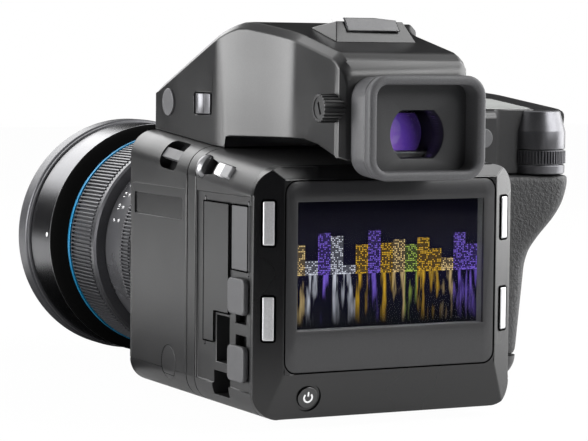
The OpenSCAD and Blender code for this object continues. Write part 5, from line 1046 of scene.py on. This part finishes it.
# Studio: a white sweep that keeps the shadow, lit from a white world
floor = {"size": 6.0, "z": -3.6, "colour": "#f4f4f4", "rough": 0.9, "white": 0.98, "cardLift": 0.5}
bpy.ops.mesh.primitive_plane_add(size=floor["size"], location=(0, 0, floor["z"] * mm))
floorPlane = bpy.context.object
floorPlane.name = "studioFloor"
floorPaper, tree, shader = newMaterial("whiteSweepPaper")
setInputs(shader, {"Base Color": linear(floor["colour"]), "Roughness": floor["rough"]})
rays = addNode(tree, "LightPath")
glow = addNode(tree, "Emission", {"Color": linear("#ffffff"), "Strength": 1.0})
share = addNode(tree, "Math", {0: rays.outputs["Is Camera Ray"], 1: floor["white"]}, operation="MULTIPLY")
blend = addNode(tree, "MixShader", {0: share.outputs[0], 1: shader.outputs[0], 2: glow.outputs[0]})
setInputs(tree.nodes["Material Output"], {"Surface": blend.outputs[0]})
floorPlane.data.materials.append(floorPaper)

worldLight = (0.26, 1.0)  # strength on the object, and as the camera and the reflections see it
world = bpy.data.worlds.new("whiteStudio")
bpy.context.scene.world = world
world.use_nodes = True
tree = world.node_tree
rays = addNode(tree, "LightPath")
seen = addNode(tree, "Math", {0: rays.outputs["Is Camera Ray"], 1: rays.outputs["Is Glossy Ray"]},
               operation="MAXIMUM")
seen = addNode(tree, "Math", {0: seen.outputs[0], 1: rays.outputs["Is Transmission Ray"]}, operation="MAXIMUM")
level = addNode(tree, "MapRange", {"Value": seen.outputs[0], "To Min": worldLight[0], "To Max": worldLight[1]})
setInputs(tree.nodes["Background"], {"Color": linear("#ffffff"), "Strength": level.outputs["Result"]})

# Soft boxes and black cards stand round the object: azimuth in degrees from the lens direction towards the
# camera's left, elevation, distance and size in metres
studioAim = Vector((0, 0, 0.06))


def standAround(azimuth, elevation, distance):
    a, e = math.radians(azimuth), math.radians(elevation)
    offset = Vector((-math.sin(a) * math.cos(e), math.cos(a) * math.cos(e), math.sin(e))) * distance
    return Matrix.Translation(studioAim + offset) @ offset.to_track_quat("Z", "Y").to_matrix().to_4x4()


softBoxes = {
    "leftBox": {"place": (76, 10, 1.0), "size": (0.9, 0.55), "watts": 15.0},
    "frontTopBox": {"place": (5, 28, 1.1), "size": (0.6, 0.6), "watts": 3.2},
    "rightBox": {"place": (267, 16, 1.0), "size": (0.7, 0.8), "watts": 9.0},
    "gripBox": {"place": (222, 25, 1.2), "size": (0.95, 0.24), "watts": 9.0},
    "overheadBox": {"place": (238, 50, 1.1), "size": (0.7, 0.5), "watts": 7.0},
}
for boxName, box in softBoxes.items():
    lamp = bpy.data.lights.new(boxName, "AREA")
    lamp.shape = "RECTANGLE"
    lamp.size, lamp.size_y = box["size"]
    lamp.energy = box["watts"]
    holder = bpy.data.objects.new(boxName, lamp)
    bpy.context.scene.collection.objects.link(holder)
    holder.matrix_world = standAround(*box["place"])

blackCards = {
    "cardBehindLeft": {"place": (142, 16, 1.6), "size": (2.3, 1.6)},
    "cardBehindRight": {"place": (212, 16, 1.6), "size": (1.7, 1.6)},
    "cardAboveBehind": {"place": (200, 66, 1.5), "size": (1.6, 1.1)},
    "cardAboveRight": {"place": (331, 22, 1.5), "size": (0.75, 1.5)},
    "cardFrontLeft": {"place": (28, 3, 0.95), "size": (0.72, 0.25)},
    "cardOnFloorNear": {"lying": (-0.075, 0.155, 0), "size": (0.13, 0.23)},
    "cardOnFloorLeft": {"lying": (-0.46, -0.72, 147), "size": (1.3, 1.2)},
    "cardOnFloorBehind": {"lying": (0.62, -1.24, 206.6), "size": (2.2, 0.5)},
}
blackFelt, tree, shader = newMaterial("blackFelt")
nap = addNode(tree, "TexNoise", {"Scale": 400.0, "Detail": 2.0})
tint = addNode(tree, "ValToRGB", {"Fac": nap.outputs["Fac"]}, ((0, "#040404"), (1, "#0a0a0a")))
setInputs(shader, {"Base Color": tint.outputs["Color"], "Roughness": 1.0, "Specular IOR Level": 0.0})
for cardName, card in blackCards.items():
    bpy.ops.mesh.primitive_plane_add(size=1)
    flag = bpy.context.object
    flag.name = cardName
    if "lying" in card:
        x, y, turned = card["lying"]
        flag.matrix_world = (Matrix.Translation((x, y, (floor["z"] + floor["cardLift"]) * mm))
                             @ Matrix.Rotation(math.radians(turned), 4, "Z") @ Matrix.Diagonal((*card["size"], 1, 1)))
    else:
        flag.matrix_world = standAround(*card["place"]) @ Matrix.Diagonal((*card["size"], 1, 1))
    flag.data.materials.append(blackFelt)
    flag.visible_camera = flag.visible_diffuse = flag.visible_shadow = flag.visible_transmission = False

# Camera solved from the edges in the photograph: place in millimetres, turns in degrees, lens on a 36 mm frame
view = {"at": (-366.8, -740.4, 116.87), "yaw": 26.65, "pitch": 4.024, "roll": 0.4926, "lens": 140.55, "frame": 36.0}
yaw, pitch, roll = (math.radians(view[k]) for k in ("yaw", "pitch", "roll"))
ahead = Vector((math.sin(yaw) * math.cos(pitch), math.cos(yaw) * math.cos(pitch), -math.sin(pitch)))
level = Vector((math.cos(yaw), -math.sin(yaw), 0))
above = level.cross(ahead)
across = math.cos(roll) * level + math.sin(roll) * above
upward = -math.sin(roll) * level + math.cos(roll) * above
lens = bpy.data.cameras.new("photoCamera")
lens.lens = view["lens"]
lens.sensor_width = view["frame"]
lens.clip_start = 0.01
eye = bpy.data.objects.new("photoCamera", lens)
bpy.context.scene.collection.objects.link(eye)
turn = Matrix((across, upward, -ahead)).transposed().to_4x4()
eye.matrix_world = Matrix.Translation(Vector(view["at"]) * mm) @ turn
bpy.context.scene.camera = eye
bpy.context.scene.view_settings.view_transform = "Standard"
print("studio set")
